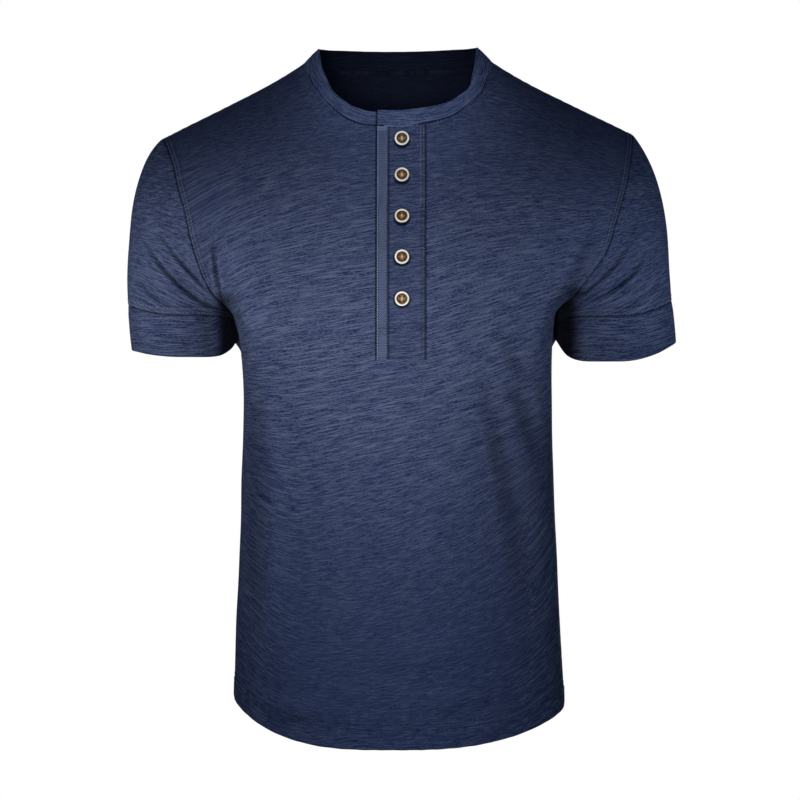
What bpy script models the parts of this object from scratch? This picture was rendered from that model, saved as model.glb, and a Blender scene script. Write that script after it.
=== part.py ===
"""A short-sleeved henley T-shirt in slub jersey, filled out as it is when it is worn.

Metres, +Z up. The origin lies midway between the two points where the shoulder
seams meet the neckband. The wearer faces -Y, so the wearer's left side is at +X.
Every panel is a sheet of points worked out from the tables below, and Solidify
gives it its wall on the inside.
"""

import math
from collections import namedtuple

import bmesh
import bpy
import numpy as np
from mathutils import Matrix, Vector

COLLECTION = "henley_t_shirt"

# Cloth and seams
JERSEY_WALL = 0.0012
BAND_WALL = 0.0020
PLACKET_WALL = 0.0015
TAPE_WALL = 0.0010
SEAM_GAP = 0.0005
ARMHOLE_GAP = 0.0010
LAYER_GAP = 0.0007

# Which side of the body a panel covers, as the sign of its y
FRONT = -1
BACK = 1

# Which sleeve a piece belongs to, as the sign of its x
RIGHT = -1
LEFT = 1

# Level rings of the body: half widths at the wearer's right and left, depths before and behind,
# and how square each ring is, from 2 for an ellipse upwards
Ring = namedtuple("Ring", "height right left front back squareness")
BODY = (
    Ring(-0.700, 0.1675, 0.1705, 0.113, 0.107, 3.0),
    Ring(-0.632, 0.1670, 0.1690, 0.112, 0.104, 3.1),
    Ring(-0.570, 0.1650, 0.1655, 0.111, 0.099, 3.2),
    Ring(-0.509, 0.1620, 0.1625, 0.111, 0.095, 3.2),
    Ring(-0.447, 0.1595, 0.1597, 0.113, 0.094, 3.2),
    Ring(-0.396, 0.1585, 0.1577, 0.117, 0.097, 3.2),
    Ring(-0.345, 0.1580, 0.1560, 0.121, 0.101, 3.2),
    Ring(-0.293, 0.1610, 0.1570, 0.124, 0.106, 3.3),
    Ring(-0.272, 0.1645, 0.1585, 0.124, 0.108, 3.4),
    Ring(-0.256, 0.1700, 0.1610, 0.123, 0.109, 3.4),
    Ring(-0.235, 0.1980, 0.1940, 0.121, 0.110, 3.0),
    Ring(-0.210, 0.2300, 0.2280, 0.117, 0.110, 2.7),
    Ring(-0.170, 0.2620, 0.2620, 0.108, 0.109, 2.6),
    Ring(-0.120, 0.2800, 0.2800, 0.092, 0.103, 2.6),
    Ring(-0.070, 0.2850, 0.2850, 0.073, 0.090, 2.6),
    Ring(-0.045, 0.2850, 0.2850, 0.064, 0.080, 2.6),
    Ring(-0.020, 0.2850, 0.2850, 0.055, 0.064, 2.6),
    Ring(0.080, 0.2850, 0.2850, 0.040, 0.040, 2.6),
)
UNDERARM_HEIGHT = -0.256

# Top line of the shoulder, the same on both sides
Shoulder = namedtuple("Shoulder", "across height")
SHOULDER = (
    Shoulder(0.0000, 0.0700),
    Shoulder(0.0500, 0.0440),
    Shoulder(0.0957, 0.0020),
    Shoulder(0.1150, -0.0110),
    Shoulder(0.1800, -0.0446),
    Shoulder(0.2395, -0.0740),
    Shoulder(0.3000, -0.1100),
)
SHOULDER_TILT = 0.008
SHOULDER_ROUNDING = 0.075
NECK_POINT = 0.0957
SHOULDER_POINT = 0.2395

# Armhole seams from the shoulder point down to the last point before the underarm
SeamPoint = namedtuple("SeamPoint", "across height")
ARMHOLE = {
    RIGHT: (
        SeamPoint(0.2310, -0.0950),
        SeamPoint(0.2233, -0.1180),
        SeamPoint(0.2154, -0.1470),
        SeamPoint(0.2106, -0.1665),
        SeamPoint(0.2044, -0.1926),
        SeamPoint(0.1962, -0.2175),
        SeamPoint(0.1878, -0.2351),
        SeamPoint(0.1804, -0.2437),
    ),
    LEFT: (
        SeamPoint(0.2370, -0.0900),
        SeamPoint(0.2330, -0.1106),
        SeamPoint(0.2255, -0.1421),
        SeamPoint(0.2171, -0.1695),
        SeamPoint(0.2071, -0.1985),
        SeamPoint(0.1963, -0.2144),
        SeamPoint(0.1867, -0.2261),
        SeamPoint(0.1765, -0.2397),
        SeamPoint(0.1680, -0.2480),
    ),
}

# Neck seams, from the wearer's right to left
NECK_FRONT = (
    SeamPoint(-0.0957, 0.0020),
    SeamPoint(-0.0913, -0.0169),
    SeamPoint(-0.0838, -0.0318),
    SeamPoint(-0.0734, -0.0451),
    SeamPoint(-0.0612, -0.0568),
    SeamPoint(-0.0460, -0.0663),
    SeamPoint(-0.0260, -0.0712),
    SeamPoint(0.0000, -0.0718),
    SeamPoint(0.0270, -0.0690),
    SeamPoint(0.0521, -0.0625),
    SeamPoint(0.0692, -0.0520),
    SeamPoint(0.0836, -0.0390),
    SeamPoint(0.0905, -0.0235),
    SeamPoint(0.0957, 0.0020),
)
NECK_BACK = (
    SeamPoint(-0.0957, 0.0020),
    SeamPoint(-0.0700, 0.0000),
    SeamPoint(0.0000, -0.0010),
    SeamPoint(0.0700, 0.0000),
    SeamPoint(0.0957, 0.0020),
)

# Shirt-tail hem: lowest at the middle, higher at the side seams
Hem = namedtuple("Hem", "rise power")
HEM_HEIGHT = -0.6895
HEM = {RIGHT: Hem(0.0430, 3.3), LEFT: Hem(0.0345, 2.6)}

# Sleeve bands. Each ring is level across its middle, and its rim goes up or down from there
SleeveRing = namedtuple(
    "SleeveRing", "outer inner depth outer_height front_height inner_height back_height"
)
CUFF_SEAM = {
    RIGHT: SleeveRing(0.2764, 0.1692, 0.064, -0.2475, -0.2590, -0.2620, -0.2380),
    LEFT: SleeveRing(0.2805, 0.1614, 0.058, -0.2430, -0.2600, -0.2640, -0.2320),
}
CUFF_EDGE = {
    RIGHT: SleeveRing(0.2730, 0.1648, 0.062, -0.2930, -0.3005, -0.2830, -0.2800),
    LEFT: SleeveRing(0.2850, 0.1605, 0.056, -0.2845, -0.3050, -0.2790, -0.2720),
}
CAP_SLOPE = {RIGHT: math.radians(32), LEFT: math.radians(49)}
CAP_REACH = {RIGHT: 0.62, LEFT: 1.15}
CUFF_REACH = {RIGHT: 1.05, LEFT: 0.70}
CAP_TURN = 0.8
CUFF_CORNER = 7

# Neckband
NECKBAND_WIDTH = 0.0195
NECKBAND_LEAN_SIDE = math.radians(45)
NECKBAND_LEAN_FRONT = math.radians(30)
NECKBAND_LEAN_BACK = math.radians(10)
NECKBAND_TOP_LIFT = 0.0018
NECKBAND_UNDER_TUCK = 0.0018
NECKBAND_BEND = 0.030

# Placket: its edges across the front, and where it ends
PLACKET_RIGHT = -0.0207
PLACKET_LEFT = 0.0273
PLACKET_FOOT = -0.3048
SLOT_RIGHT = -0.0140
SLOT_LEFT = 0.0200
SLOT_FOOT = -0.2920
UNDER_RIGHT = -0.0230
UNDER_LEFT = 0.0235
TAPE_WIDTH = 0.0110
PLACKET_LIFT = LAYER_GAP + PLACKET_WALL
TAPE_LIFT = PLACKET_LIFT + SEAM_GAP + TAPE_WALL
UNDER_LIFT = -JERSEY_WALL - LAYER_GAP

# Buttons
BUTTON_RADIUS = 0.0073
BUTTON_ACROSS = 0.0040
BUTTON_HEIGHTS = (-0.0845, -0.1221, -0.1639, -0.2043, -0.2453)
BUTTON_THICKNESS = 0.0030
BUTTON_RIM = 0.0019
BUTTON_RECESS = 0.0009
BUTTON_ROUNDING = 0.0005
BUTTON_HOLE_RADIUS = 0.0009
BUTTON_HOLE_SPREAD = 0.0027
BUTTON_STEPS = 18
BUTTON_SEAT = 0.002
HOLE_SIDES = 6
HOLE_CUTTER_LENGTH = 4 * BUTTON_THICKNESS

# Largest folds, as seen from the front or the back: two ends, and a middle that bows the line
FOLD_END_SHARE = 0.02
FOLD_FACING = 2.5
Fold = namedtuple("Fold", "start middle end width rise")
FOLDS = {
    "front": (
        Fold((-0.190, -0.168), (-0.184, -0.200), (-0.178, -0.240), 0.012, -0.006),
        Fold((0.084, -0.325), (0.107, -0.400), (0.118, -0.480), 0.018, -0.006),
        Fold((0.116, -0.322), (0.134, -0.366), (0.144, -0.410), 0.014, -0.005),
        Fold((-0.124, -0.330), (-0.119, -0.450), (-0.121, -0.590), 0.016, 0.004),
    ),
    "back": (
        Fold((-0.085, -0.330), (-0.105, -0.400), (-0.115, -0.480), 0.014, -0.005),
        Fold((0.120, -0.330), (0.122, -0.450), (0.118, -0.560), 0.016, 0.004),
    ),
    "sleeve_right": (
        Fold((-0.232, -0.188), (-0.212, -0.214), (-0.186, -0.238), 0.009, -0.006),
        Fold((-0.246, -0.196), (-0.228, -0.222), (-0.196, -0.244), 0.009, -0.005),
    ),
    "sleeve_left": (
        Fold((0.232, -0.192), (0.205, -0.224), (0.176, -0.243), 0.009, -0.006),
        Fold((0.250, -0.200), (0.225, -0.230), (0.192, -0.246), 0.009, -0.005),
    ),
}

# How finely each sheet is divided
OUTER_COLUMNS = 8
FRONT_NECK_COLUMNS = 8
BACK_NECK_COLUMNS = 14
LOWER_ROWS = 13
UPPER_ROWS = 16
TOP_CROWDING = 1.35
SLEEVE_COLUMNS = 40
SLEEVE_ROWS = 11
CUFF_ROWS = 2
PLACKET_ROWS = 18
STRIP_COLUMNS = 4
TAPE_COLUMNS = 2
NECKBAND_END_COLUMNS = 3
NECKBAND_ROWS = 2
CURVE_SAMPLES = 200
FOLD_SAMPLES = 25

Finish = namedtuple("Finish", "colour roughness")
JERSEY = Finish((0.043, 0.054, 0.108), 0.9)
BAND = Finish((0.040, 0.050, 0.100), 0.9)
TAPE = Finish((0.110, 0.130, 0.190), 0.85)
BUTTON = Finish((0.110, 0.055, 0.030), 0.4)


def smooth_curve(knots, values, at):
    """Values at any place on a smooth line through the knots, with no overshoot between them."""
    knots = np.asarray(knots, float)
    values = np.asarray(values, float)
    at = np.clip(np.asarray(at, float), knots[0], knots[-1])
    steps = np.diff(knots)
    slopes = np.diff(values) / steps
    tangents = np.zeros_like(values)
    same_way = slopes[:-1] * slopes[1:] > 0
    before = 2 * steps[1:] + steps[:-1]
    after = steps[1:] + 2 * steps[:-1]
    safe = np.where(same_way, slopes[:-1] * slopes[1:], 1.0)
    weighed = np.where(same_way, before * slopes[1:] + after * slopes[:-1], 1.0)
    mean = (before + after) * safe / weighed
    tangents[1:-1] = np.where(same_way, mean, 0.0)
    tangents[0] = slopes[0]
    tangents[-1] = slopes[-1]
    cell = np.clip(np.searchsorted(knots, at, side="right") - 1, 0, len(steps) - 1)
    share = (at - knots[cell]) / steps[cell]
    start = (1 + 2 * share) * (1 - share) ** 2
    end = share**2 * (3 - 2 * share)
    leave = share * (1 - share) ** 2 * steps[cell]
    arrive = share**2 * (share - 1) * steps[cell]
    return (
        start * values[cell]
        + end * values[cell + 1]
        + leave * tangents[cell]
        + arrive * tangents[cell + 1]
    )


def table_value(table, key, column, at):
    """One column of a table, read at any value of its key column."""
    knots = [getattr(row, key) for row in table]
    values = [getattr(row, column) for row in table]
    return smooth_curve(knots, values, at)


def signed_power(base, exponent):
    """A power of the size of a number, with the number's own sign."""
    return np.sign(base) * np.abs(base) ** exponent


def half_width(turn, height):
    """Half width of the body's ring, on the wearer's right where turn is negative."""
    right = table_value(BODY, "height", "right", height)
    left = table_value(BODY, "height", "left", height)
    return np.where(turn < 0, right, left)


def squareness(height):
    return table_value(BODY, "height", "squareness", height)


def shoulder_height(across):
    """Height of the shoulder line, which sits a little higher at the wearer's left."""
    return table_value(SHOULDER, "across", "height", np.abs(across)) + SHOULDER_TILT * across


def body_points(side, angle, height):
    """Points on the body's ring at a height: angle 0 is the wearer's left side seam, pi the right one."""
    turn = np.cos(angle)
    power = 2 / squareness(height)
    across = half_width(turn, height) * signed_power(turn, power)
    depth = table_value(BODY, "height", "front" if side == FRONT else "back", height)
    fall = np.clip((shoulder_height(across) - height) / SHOULDER_ROUNDING, 0, 1)
    rounding = np.sqrt(1 - (1 - fall) ** 2)
    out = depth * np.abs(np.sin(angle)) ** power * rounding
    return np.stack([across, side * (out + SEAM_GAP / 2), height + 0 * across], axis=-1)


def ring_angle(across, height):
    """The angle at which a ring passes a place across the body."""
    share = np.clip(np.abs(across) / half_width(across, height), 0, 1)
    return np.arccos(np.sign(across) * share ** (squareness(height) / 2))


def even_spacing(points, count):
    """Shares of a line's length, turned into the places of its samples that cut it evenly."""
    steps = np.linalg.norm(np.diff(points, axis=0), axis=1)
    length = np.concatenate([[0.0], np.cumsum(steps)])
    return np.interp(np.linspace(0, length[-1], count), length, np.arange(len(points)))


def armhole_stations(arm, side, count):
    """Angle and height of evenly spaced points on an armhole, from the underarm to the shoulder."""
    rows = ARMHOLE[arm]
    across = arm * np.array([SHOULDER_POINT] + [row.across for row in rows])
    height = np.array([shoulder_height(arm * SHOULDER_POINT)] + [row.height for row in rows])
    angle = np.append(ring_angle(across, height), 0.0 if arm == LEFT else math.pi)
    height = np.append(height, UNDERARM_HEIGHT)
    knots = np.arange(len(height), dtype=float)
    fine = np.linspace(0, knots[-1], CURVE_SAMPLES)
    fine_angle = smooth_curve(knots, angle, fine)
    fine_height = smooth_curve(knots, height, fine)
    places = even_spacing(body_points(side, fine_angle, fine_height), count)[::-1]
    samples = np.arange(CURVE_SAMPLES)
    return np.interp(places, samples, fine_angle), np.interp(places, samples, fine_height)


def neck_seam(side, across):
    """Height of a neck seam, which meets the shoulder line at both neck points."""
    height = table_value(NECK_FRONT if side == FRONT else NECK_BACK, "across", "height", across)
    return height + SHOULDER_TILT * across


def neck_line(side, across):
    height = neck_seam(side, across)
    return body_points(side, ring_angle(across, height), height)


def neck_places(side, start, end, count):
    """Places across the body that cut a stretch of the neck seam into even lengths."""
    across = np.linspace(start, end, CURVE_SAMPLES)
    places = even_spacing(neck_line(side, across), count + 1)
    return np.interp(places, np.arange(CURVE_SAMPLES), across)


def lower_shares():
    """Shares of the way from hem to underarm level, with a row at the slot's foot."""
    slot = (SLOT_FOOT - HEM_HEIGHT) / (UNDERARM_HEIGHT - HEM_HEIGHT)
    return np.append(np.linspace(0, slot, LOWER_ROWS + 1), 1.0)


def upper_shares():
    """Shares of the way from underarm level to the top seams, close together at both ends."""
    left_to_go = (1 + np.cos(np.linspace(0, math.pi, UPPER_ROWS + 1)[1:])) / 2
    return 1 - left_to_go**TOP_CROWDING


def hem_height(turn):
    """Height of the hem where a ring's angle has this cosine."""
    across = np.abs(turn) ** (2 / squareness(HEM_HEIGHT))
    rise = [HEM[arm].rise * across ** HEM[arm].power for arm in (RIGHT, LEFT)]
    return HEM_HEIGHT + np.where(turn < 0, *rise)


def centre_columns(side, top, bottom=None):
    """Stations of the columns that end at the neck seam, given their places across at both ends."""
    top = np.asarray(top, float)
    bottom = top if bottom is None else np.asarray(bottom, float)
    hem = hem_height(np.cos(ring_angle(bottom, HEM_HEIGHT)))
    low = hem + lower_shares()[:, None] * (UNDERARM_HEIGHT - hem)
    rise = upper_shares()[:, None]
    high = UNDERARM_HEIGHT + rise * (neck_seam(side, top) - UNDERARM_HEIGHT)
    height = np.concatenate([low, high])
    across = np.concatenate([bottom + 0 * low, bottom + rise**2 * (top - bottom)])
    return ring_angle(across, height), height


def filled_patch(shares, rise, edge, inner, bottom, top):
    """Values inside four edges, blended from all of them. The inner edge starts on the bottom row."""
    between_sides = (1 - shares) * edge + shares * inner[1:]
    between_ends = (1 - rise) * bottom + rise * top
    start = bottom[0] + shares * (inner[0] - bottom[0])
    end = top[0] + shares * (inner[-1] - top[0])
    return between_sides + between_ends - (1 - rise) * start - rise * end


def outer_columns(side, arm):
    """Stations of the columns between the neck point and the side seam or armhole, seam first."""
    inner_angle, inner_height = centre_columns(side, [arm * NECK_POINT])
    seam_angle = 0.0 if arm == LEFT else math.pi
    shares = np.linspace(0, 1, OUTER_COLUMNS + 1)[:-1]
    low_count = len(lower_shares())

    low_angle = seam_angle + shares * (inner_angle[:low_count] - seam_angle)
    hem = hem_height(np.cos(low_angle))
    low_height = hem + lower_shares()[:, None] * (UNDERARM_HEIGHT - hem)

    rise = upper_shares()[:, None]
    edge_angle, edge_height = armhole_stations(arm, side, UPPER_ROWS + 1)
    edge_angle = edge_angle[1:, None]
    edge_height = edge_height[1:, None]
    top_across = arm * (SHOULDER_POINT + shares * (NECK_POINT - SHOULDER_POINT))
    top_height = shoulder_height(top_across)
    top_angle = ring_angle(top_across, top_height)
    inner_angle = inner_angle[low_count - 1 :]
    inner_height = inner_height[low_count - 1 :]
    high_angle = filled_patch(shares, rise, edge_angle, inner_angle, low_angle[-1], top_angle)
    high_height = filled_patch(shares, rise, edge_height, inner_height, low_height[-1], top_height)
    return np.concatenate([low_angle, high_angle]), np.concatenate([low_height, high_height])


def outward(grid, closed=False):
    """Unit normals of a grid of points, rows going up and columns going to the wearer's left at the front."""
    along = np.gradient(grid, axis=0)
    if closed:
        across = (np.roll(grid, -1, axis=1) - np.roll(grid, 1, axis=1)) / 2
    else:
        across = np.gradient(grid, axis=1)
    normal = np.cross(across, along)
    return normal / np.maximum(np.linalg.norm(normal, axis=-1, keepdims=True), 1e-12)


def fold_rise(fold, points):
    """How far one fold lifts each point: a soft ridge or trough that fades out at both ends."""
    start, middle, end = (np.array(place) for place in (fold.start, fold.middle, fold.end))
    share = np.linspace(0, 1, FOLD_SAMPLES)[:, None]
    line = (1 - share) ** 2 * start + share**2 * end + 2 * share * (1 - share) * middle
    offset = points[..., None, [0, 2]] - line
    distance = np.linalg.norm(offset, axis=-1)
    nearest = np.argmin(distance, axis=-1)
    along = np.clip(share[nearest, 0], FOLD_END_SHARE, 1 - FOLD_END_SHARE)
    strength = np.sqrt(np.sin(math.pi * along))
    return fold.rise * strength * np.exp(-((distance.min(axis=-1) / fold.width) ** 2))


def with_folds(grid, folds, side, closed=False):
    """The grid with its folds raised, on the half of it that faces that side."""
    normal = outward(grid, closed)
    facing = np.clip(side * normal[..., 1] * FOLD_FACING, 0, 1)
    rise = sum(fold_rise(fold, grid) for fold in folds)
    return grid + normal * (rise * facing)[..., None]


def panel_grid(side, top, bottom):
    """Points of the front or back panel, hem first, and the wearer's right to left."""
    right_angle, right_height = outer_columns(side, RIGHT)
    centre_angle, centre_height = centre_columns(side, top, bottom)
    left_angle, left_height = outer_columns(side, LEFT)
    angle = np.concatenate([right_angle, centre_angle, left_angle[:, ::-1]], axis=1)
    height = np.concatenate([right_height, centre_height, left_height[:, ::-1]], axis=1)
    return body_points(side, angle, height)


def lifted(grid, lift):
    """The grid moved out along its own normals."""
    return grid + outward(grid) * lift


def armhole_loop(arm, count):
    """Closed armhole seam for the sleeve: shoulder, front, underarm, back."""
    half = count // 2
    front = body_points(FRONT, *armhole_stations(arm, FRONT, half + 1))[::-1]
    back = body_points(BACK, *armhole_stations(arm, BACK, half + 1))
    loop = np.concatenate([front[:-1], back[:-1]])
    loop[0, 1] = 0
    loop[half, 1] = 0
    loop[:, 0] += arm * ARMHOLE_GAP
    return loop


def sleeve_ring(ring, arm, count):
    """Closed ring round the arm: outer side, front, inner side, back."""
    turn = np.linspace(0, 2 * math.pi, count, endpoint=False)
    centre = (ring.outer + ring.inner) / 2
    reach = (ring.outer - ring.inner) / 2
    across = arm * (centre + reach * np.cos(turn))
    depth = -ring.depth * np.sin(turn)
    near_side = np.where(np.cos(turn) > 0, ring.outer_height, ring.inner_height)
    near_face = np.where(np.sin(turn) > 0, ring.front_height, ring.back_height)
    inner_front = (np.cos(turn) < 0) & (np.sin(turn) > 0)
    sideways = np.abs(np.cos(turn)) ** np.where(inner_front, CUFF_CORNER, 2)
    height = near_face + (near_side - near_face) * sideways
    return np.stack([across, depth, height], axis=-1)


def sleeve_grid(arm, rows, columns):
    """Points of a sleeve, from the armhole seam down to the seam of its band."""
    top = armhole_loop(arm, columns)
    seam = sleeve_ring(CUFF_SEAM[arm], arm, columns)
    edge = sleeve_ring(CUFF_EDGE[arm], arm, columns)
    length = np.linalg.norm(seam - top, axis=1, keepdims=True)
    under = (1 - np.cos(np.linspace(0, 2 * math.pi, columns, endpoint=False))) / 2
    slope = CAP_SLOPE[arm] + (math.pi / 2 - CAP_SLOPE[arm]) * under**CAP_TURN
    leave = np.stack([arm * np.cos(slope), 0 * slope, -np.sin(slope)], axis=-1)
    leave = leave * length * CAP_REACH[arm]
    arrive = edge - seam
    arrive = arrive / np.linalg.norm(arrive, axis=1, keepdims=True) * length * CUFF_REACH[arm]
    share = np.linspace(0, 1, rows + 1)[:, None, None]
    return (
        (1 + 2 * share) * (1 - share) ** 2 * top
        + share**2 * (3 - 2 * share) * seam
        + share * (1 - share) ** 2 * leave
        + share**2 * (share - 1) * arrive
    )


def cuff_grid(arm, rows, columns):
    """Points of a sleeve band, from just below its seam to its lower edge."""
    seam = sleeve_ring(CUFF_SEAM[arm], arm, columns)
    edge = sleeve_ring(CUFF_EDGE[arm], arm, columns)
    down = (edge - seam) / np.linalg.norm(edge - seam, axis=1, keepdims=True)
    share = np.linspace(0, 1, rows + 1)[:, None, None]
    return (seam + down * SEAM_GAP) * (1 - share) + edge * share


def front_neck_places():
    """Columns of the front panel, from neck point to neck point, with two at the edges of the slot."""
    right = neck_places(FRONT, -NECK_POINT, SLOT_RIGHT, FRONT_NECK_COLUMNS)
    left = neck_places(FRONT, SLOT_LEFT, NECK_POINT, FRONT_NECK_COLUMNS)
    return right, left


def back_neck_places():
    return neck_places(BACK, -NECK_POINT, NECK_POINT, BACK_NECK_COLUMNS)


def neckband_seam():
    """Neck seam from under the placket, round the wearer's right and back, to the placket's free edge."""
    right, left = front_neck_places()
    under = np.linspace(UNDER_LEFT, SLOT_RIGHT, NECKBAND_END_COLUMNS + 1)[:-1]
    over = np.linspace(SLOT_LEFT, PLACKET_RIGHT, NECKBAND_END_COLUMNS + 1)[1:]
    return np.concatenate(
        [
            neck_line(FRONT, np.concatenate([under, right[::-1]])),
            neck_line(BACK, back_neck_places()[1:-1]),
            neck_line(FRONT, np.concatenate([left[::-1], over])),
        ]
    )


def neckband_grid(rows):
    """Points of the neckband, from its seam up to its fold."""
    seam = neckband_seam()
    run = np.gradient(seam, axis=0)
    out = np.stack([run[:, 1], -run[:, 0], 0 * run[:, 0]], axis=-1)
    out = -out / np.linalg.norm(out, axis=1, keepdims=True)
    lean_face = np.where(out[:, 1] < 0, NECKBAND_LEAN_FRONT, NECKBAND_LEAN_BACK)
    lean = NECKBAND_LEAN_SIDE * out[:, 0] ** 2 + lean_face * out[:, 1] ** 2
    up = np.array([0.0, 0.0, 1.0])
    rise = -out * np.sin(lean)[:, None] + up * np.cos(lean)[:, None]
    face = out * np.cos(lean)[:, None] + up * np.sin(lean)[:, None]
    length = np.concatenate([[0.0], np.cumsum(np.linalg.norm(np.diff(seam, axis=0), axis=1))])
    overlap = UNDER_LEFT - PLACKET_RIGHT
    tuck = np.clip(1 - (length - overlap) / NECKBAND_BEND, 0, 1)
    lift = np.clip(1 - (length[-1] - overlap - length) / NECKBAND_BEND, 0, 1)
    shift = NECKBAND_TOP_LIFT * lift - NECKBAND_UNDER_TUCK * tuck
    seam = seam + face * shift[:, None]
    share = np.linspace(0, 1, rows + 1)[:, None, None]
    return seam + rise * (SEAM_GAP + (NECKBAND_WIDTH - SEAM_GAP) * share)


def material(name, finish):
    """A plain material of its own for one piece."""
    made = bpy.data.materials.new(name)
    made.use_nodes = True
    shader = made.node_tree.nodes["Principled BSDF"]
    shader.inputs["Base Color"].default_value = (*finish.colour, 1.0)
    shader.inputs["Roughness"].default_value = finish.roughness
    return made


def place(name, mesh, finish):
    """A new object in the garment's collection, with its finish."""
    made = bpy.data.objects.new(name, mesh)
    bpy.data.collections[COLLECTION].objects.link(made)
    mesh.materials.append(material(name, finish))
    return made


def sheet(name, grid, wall, finish, closed=False, left_out=()):
    """A wall of cloth whose outer face is the grid. Cells in left_out are open."""
    rows, columns = grid.shape[:2]
    build = bmesh.new()
    corners = [[build.verts.new(point) for point in row] for row in grid]
    for row in range(rows - 1):
        for column in range(columns if closed else columns - 1):
            if (row, column) in left_out:
                continue
            after = (column + 1) % columns
            build.faces.new(
                (
                    corners[row][column],
                    corners[row][after],
                    corners[row + 1][after],
                    corners[row + 1][column],
                )
            )
    loose = [corner for corner in build.verts if not corner.link_faces]
    bmesh.ops.delete(build, geom=loose, context="VERTS")
    mesh = bpy.data.meshes.new(name)
    build.to_mesh(mesh)
    build.free()
    mesh.shade_smooth()
    made = place(name, mesh, finish)
    solidify = made.modifiers.new("wall", "SOLIDIFY")
    solidify.thickness = wall
    solidify.offset = -1
    solidify.use_rim = True
    return made


def slot_cells():
    """Cells of the front panel that the placket slot takes out."""
    first_row = len(lower_shares()) - 2
    last_row = len(lower_shares()) + UPPER_ROWS - 1
    first_column = OUTER_COLUMNS + FRONT_NECK_COLUMNS
    columns = (first_column, first_column + 1)
    return {(row, column) for row in range(first_row, last_row) for column in columns}


def make_panels():
    """The front, open down the placket slot, and the back."""
    right, left = front_neck_places()
    middle = [(SLOT_RIGHT + SLOT_LEFT) / 2]
    top = np.concatenate([right, middle, left])
    even_right = np.linspace(-NECK_POINT, SLOT_RIGHT, len(right))
    even_left = np.linspace(SLOT_LEFT, NECK_POINT, len(left))
    front = panel_grid(FRONT, top, np.concatenate([even_right, middle, even_left]))
    front = with_folds(front, FOLDS["front"], FRONT)
    sheet("front", front, JERSEY_WALL, JERSEY, left_out=slot_cells())
    top = back_neck_places()
    back = panel_grid(BACK, top, np.linspace(-NECK_POINT, NECK_POINT, len(top)))
    back = with_folds(back[:, ::-1], FOLDS["back"], BACK)
    sheet("back", back, JERSEY_WALL, JERSEY)


def make_sleeves():
    """Each sleeve, and the band round its end."""
    for arm, name in ((RIGHT, "right"), (LEFT, "left")):
        sleeve = sleeve_grid(arm, SLEEVE_ROWS, SLEEVE_COLUMNS)
        cuff = cuff_grid(arm, CUFF_ROWS, SLEEVE_COLUMNS)
        if arm == RIGHT:
            sleeve = sleeve[::-1]
            cuff = cuff[::-1]
        sleeve = with_folds(sleeve, FOLDS["sleeve_" + name], FRONT, closed=True)
        sheet("sleeve_" + name, sleeve, JERSEY_WALL, JERSEY, closed=True)
        sheet("cuff_" + name, cuff, BAND_WALL, BAND, closed=True)


def strip_grid(right_edge, left_edge, columns):
    """Front points between two places across, from the placket's foot up to just under the neck seam."""
    across = np.linspace(right_edge, left_edge, columns + 1)
    share = np.linspace(0, 1, PLACKET_ROWS + 1)[:, None]
    height = PLACKET_FOOT + share * (neck_seam(FRONT, across) - SEAM_GAP - PLACKET_FOOT)
    return body_points(FRONT, ring_angle(across + 0 * height, height), height)


def make_placket():
    """The two strips of the placket, and the tape down its free edge."""
    top = strip_grid(PLACKET_RIGHT, PLACKET_LEFT, STRIP_COLUMNS)
    sheet("placket_top", lifted(top, PLACKET_LIFT), PLACKET_WALL, BAND)
    under = strip_grid(UNDER_RIGHT, UNDER_LEFT, STRIP_COLUMNS)
    sheet("placket_under", lifted(under, UNDER_LIFT), PLACKET_WALL, BAND)
    tape = strip_grid(PLACKET_RIGHT, PLACKET_RIGHT + TAPE_WIDTH, TAPE_COLUMNS)
    sheet("placket_tape", lifted(tape, TAPE_LIFT), TAPE_WALL, TAPE)


def button_profile():
    """Half section of a button: from the middle of its face, over the rim, to the middle of its back."""
    floor = BUTTON_THICKNESS - BUTTON_RECESS
    inner = BUTTON_RADIUS - BUTTON_RIM
    return (
        (0.0, floor),
        (inner - BUTTON_ROUNDING, floor),
        (inner, floor + BUTTON_ROUNDING),
        (inner + BUTTON_RIM / 2, BUTTON_THICKNESS),
        (BUTTON_RADIUS - BUTTON_ROUNDING, BUTTON_THICKNESS - BUTTON_ROUNDING),
        (BUTTON_RADIUS, BUTTON_THICKNESS / 2),
        (BUTTON_RADIUS - BUTTON_RIM, 0.0),
        (0.0, 0.0),
    )


def button_mesh():
    """A turned button with four sewing holes."""
    build = bmesh.new()
    line = [build.verts.new((out, 0.0, up)) for out, up in button_profile()]
    edges = [build.edges.new(pair) for pair in zip(line, line[1:])]
    bmesh.ops.spin(
        build,
        geom=line + edges,
        axis=(0, 0, 1),
        cent=(0, 0, 0),
        angle=2 * math.pi,
        steps=BUTTON_STEPS,
        use_merge=True,
    )
    bmesh.ops.remove_doubles(build, verts=build.verts, dist=1e-6)
    bmesh.ops.recalc_face_normals(build, faces=build.faces)
    mesh = bpy.data.meshes.new("button")
    build.to_mesh(mesh)
    build.free()
    return mesh


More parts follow.
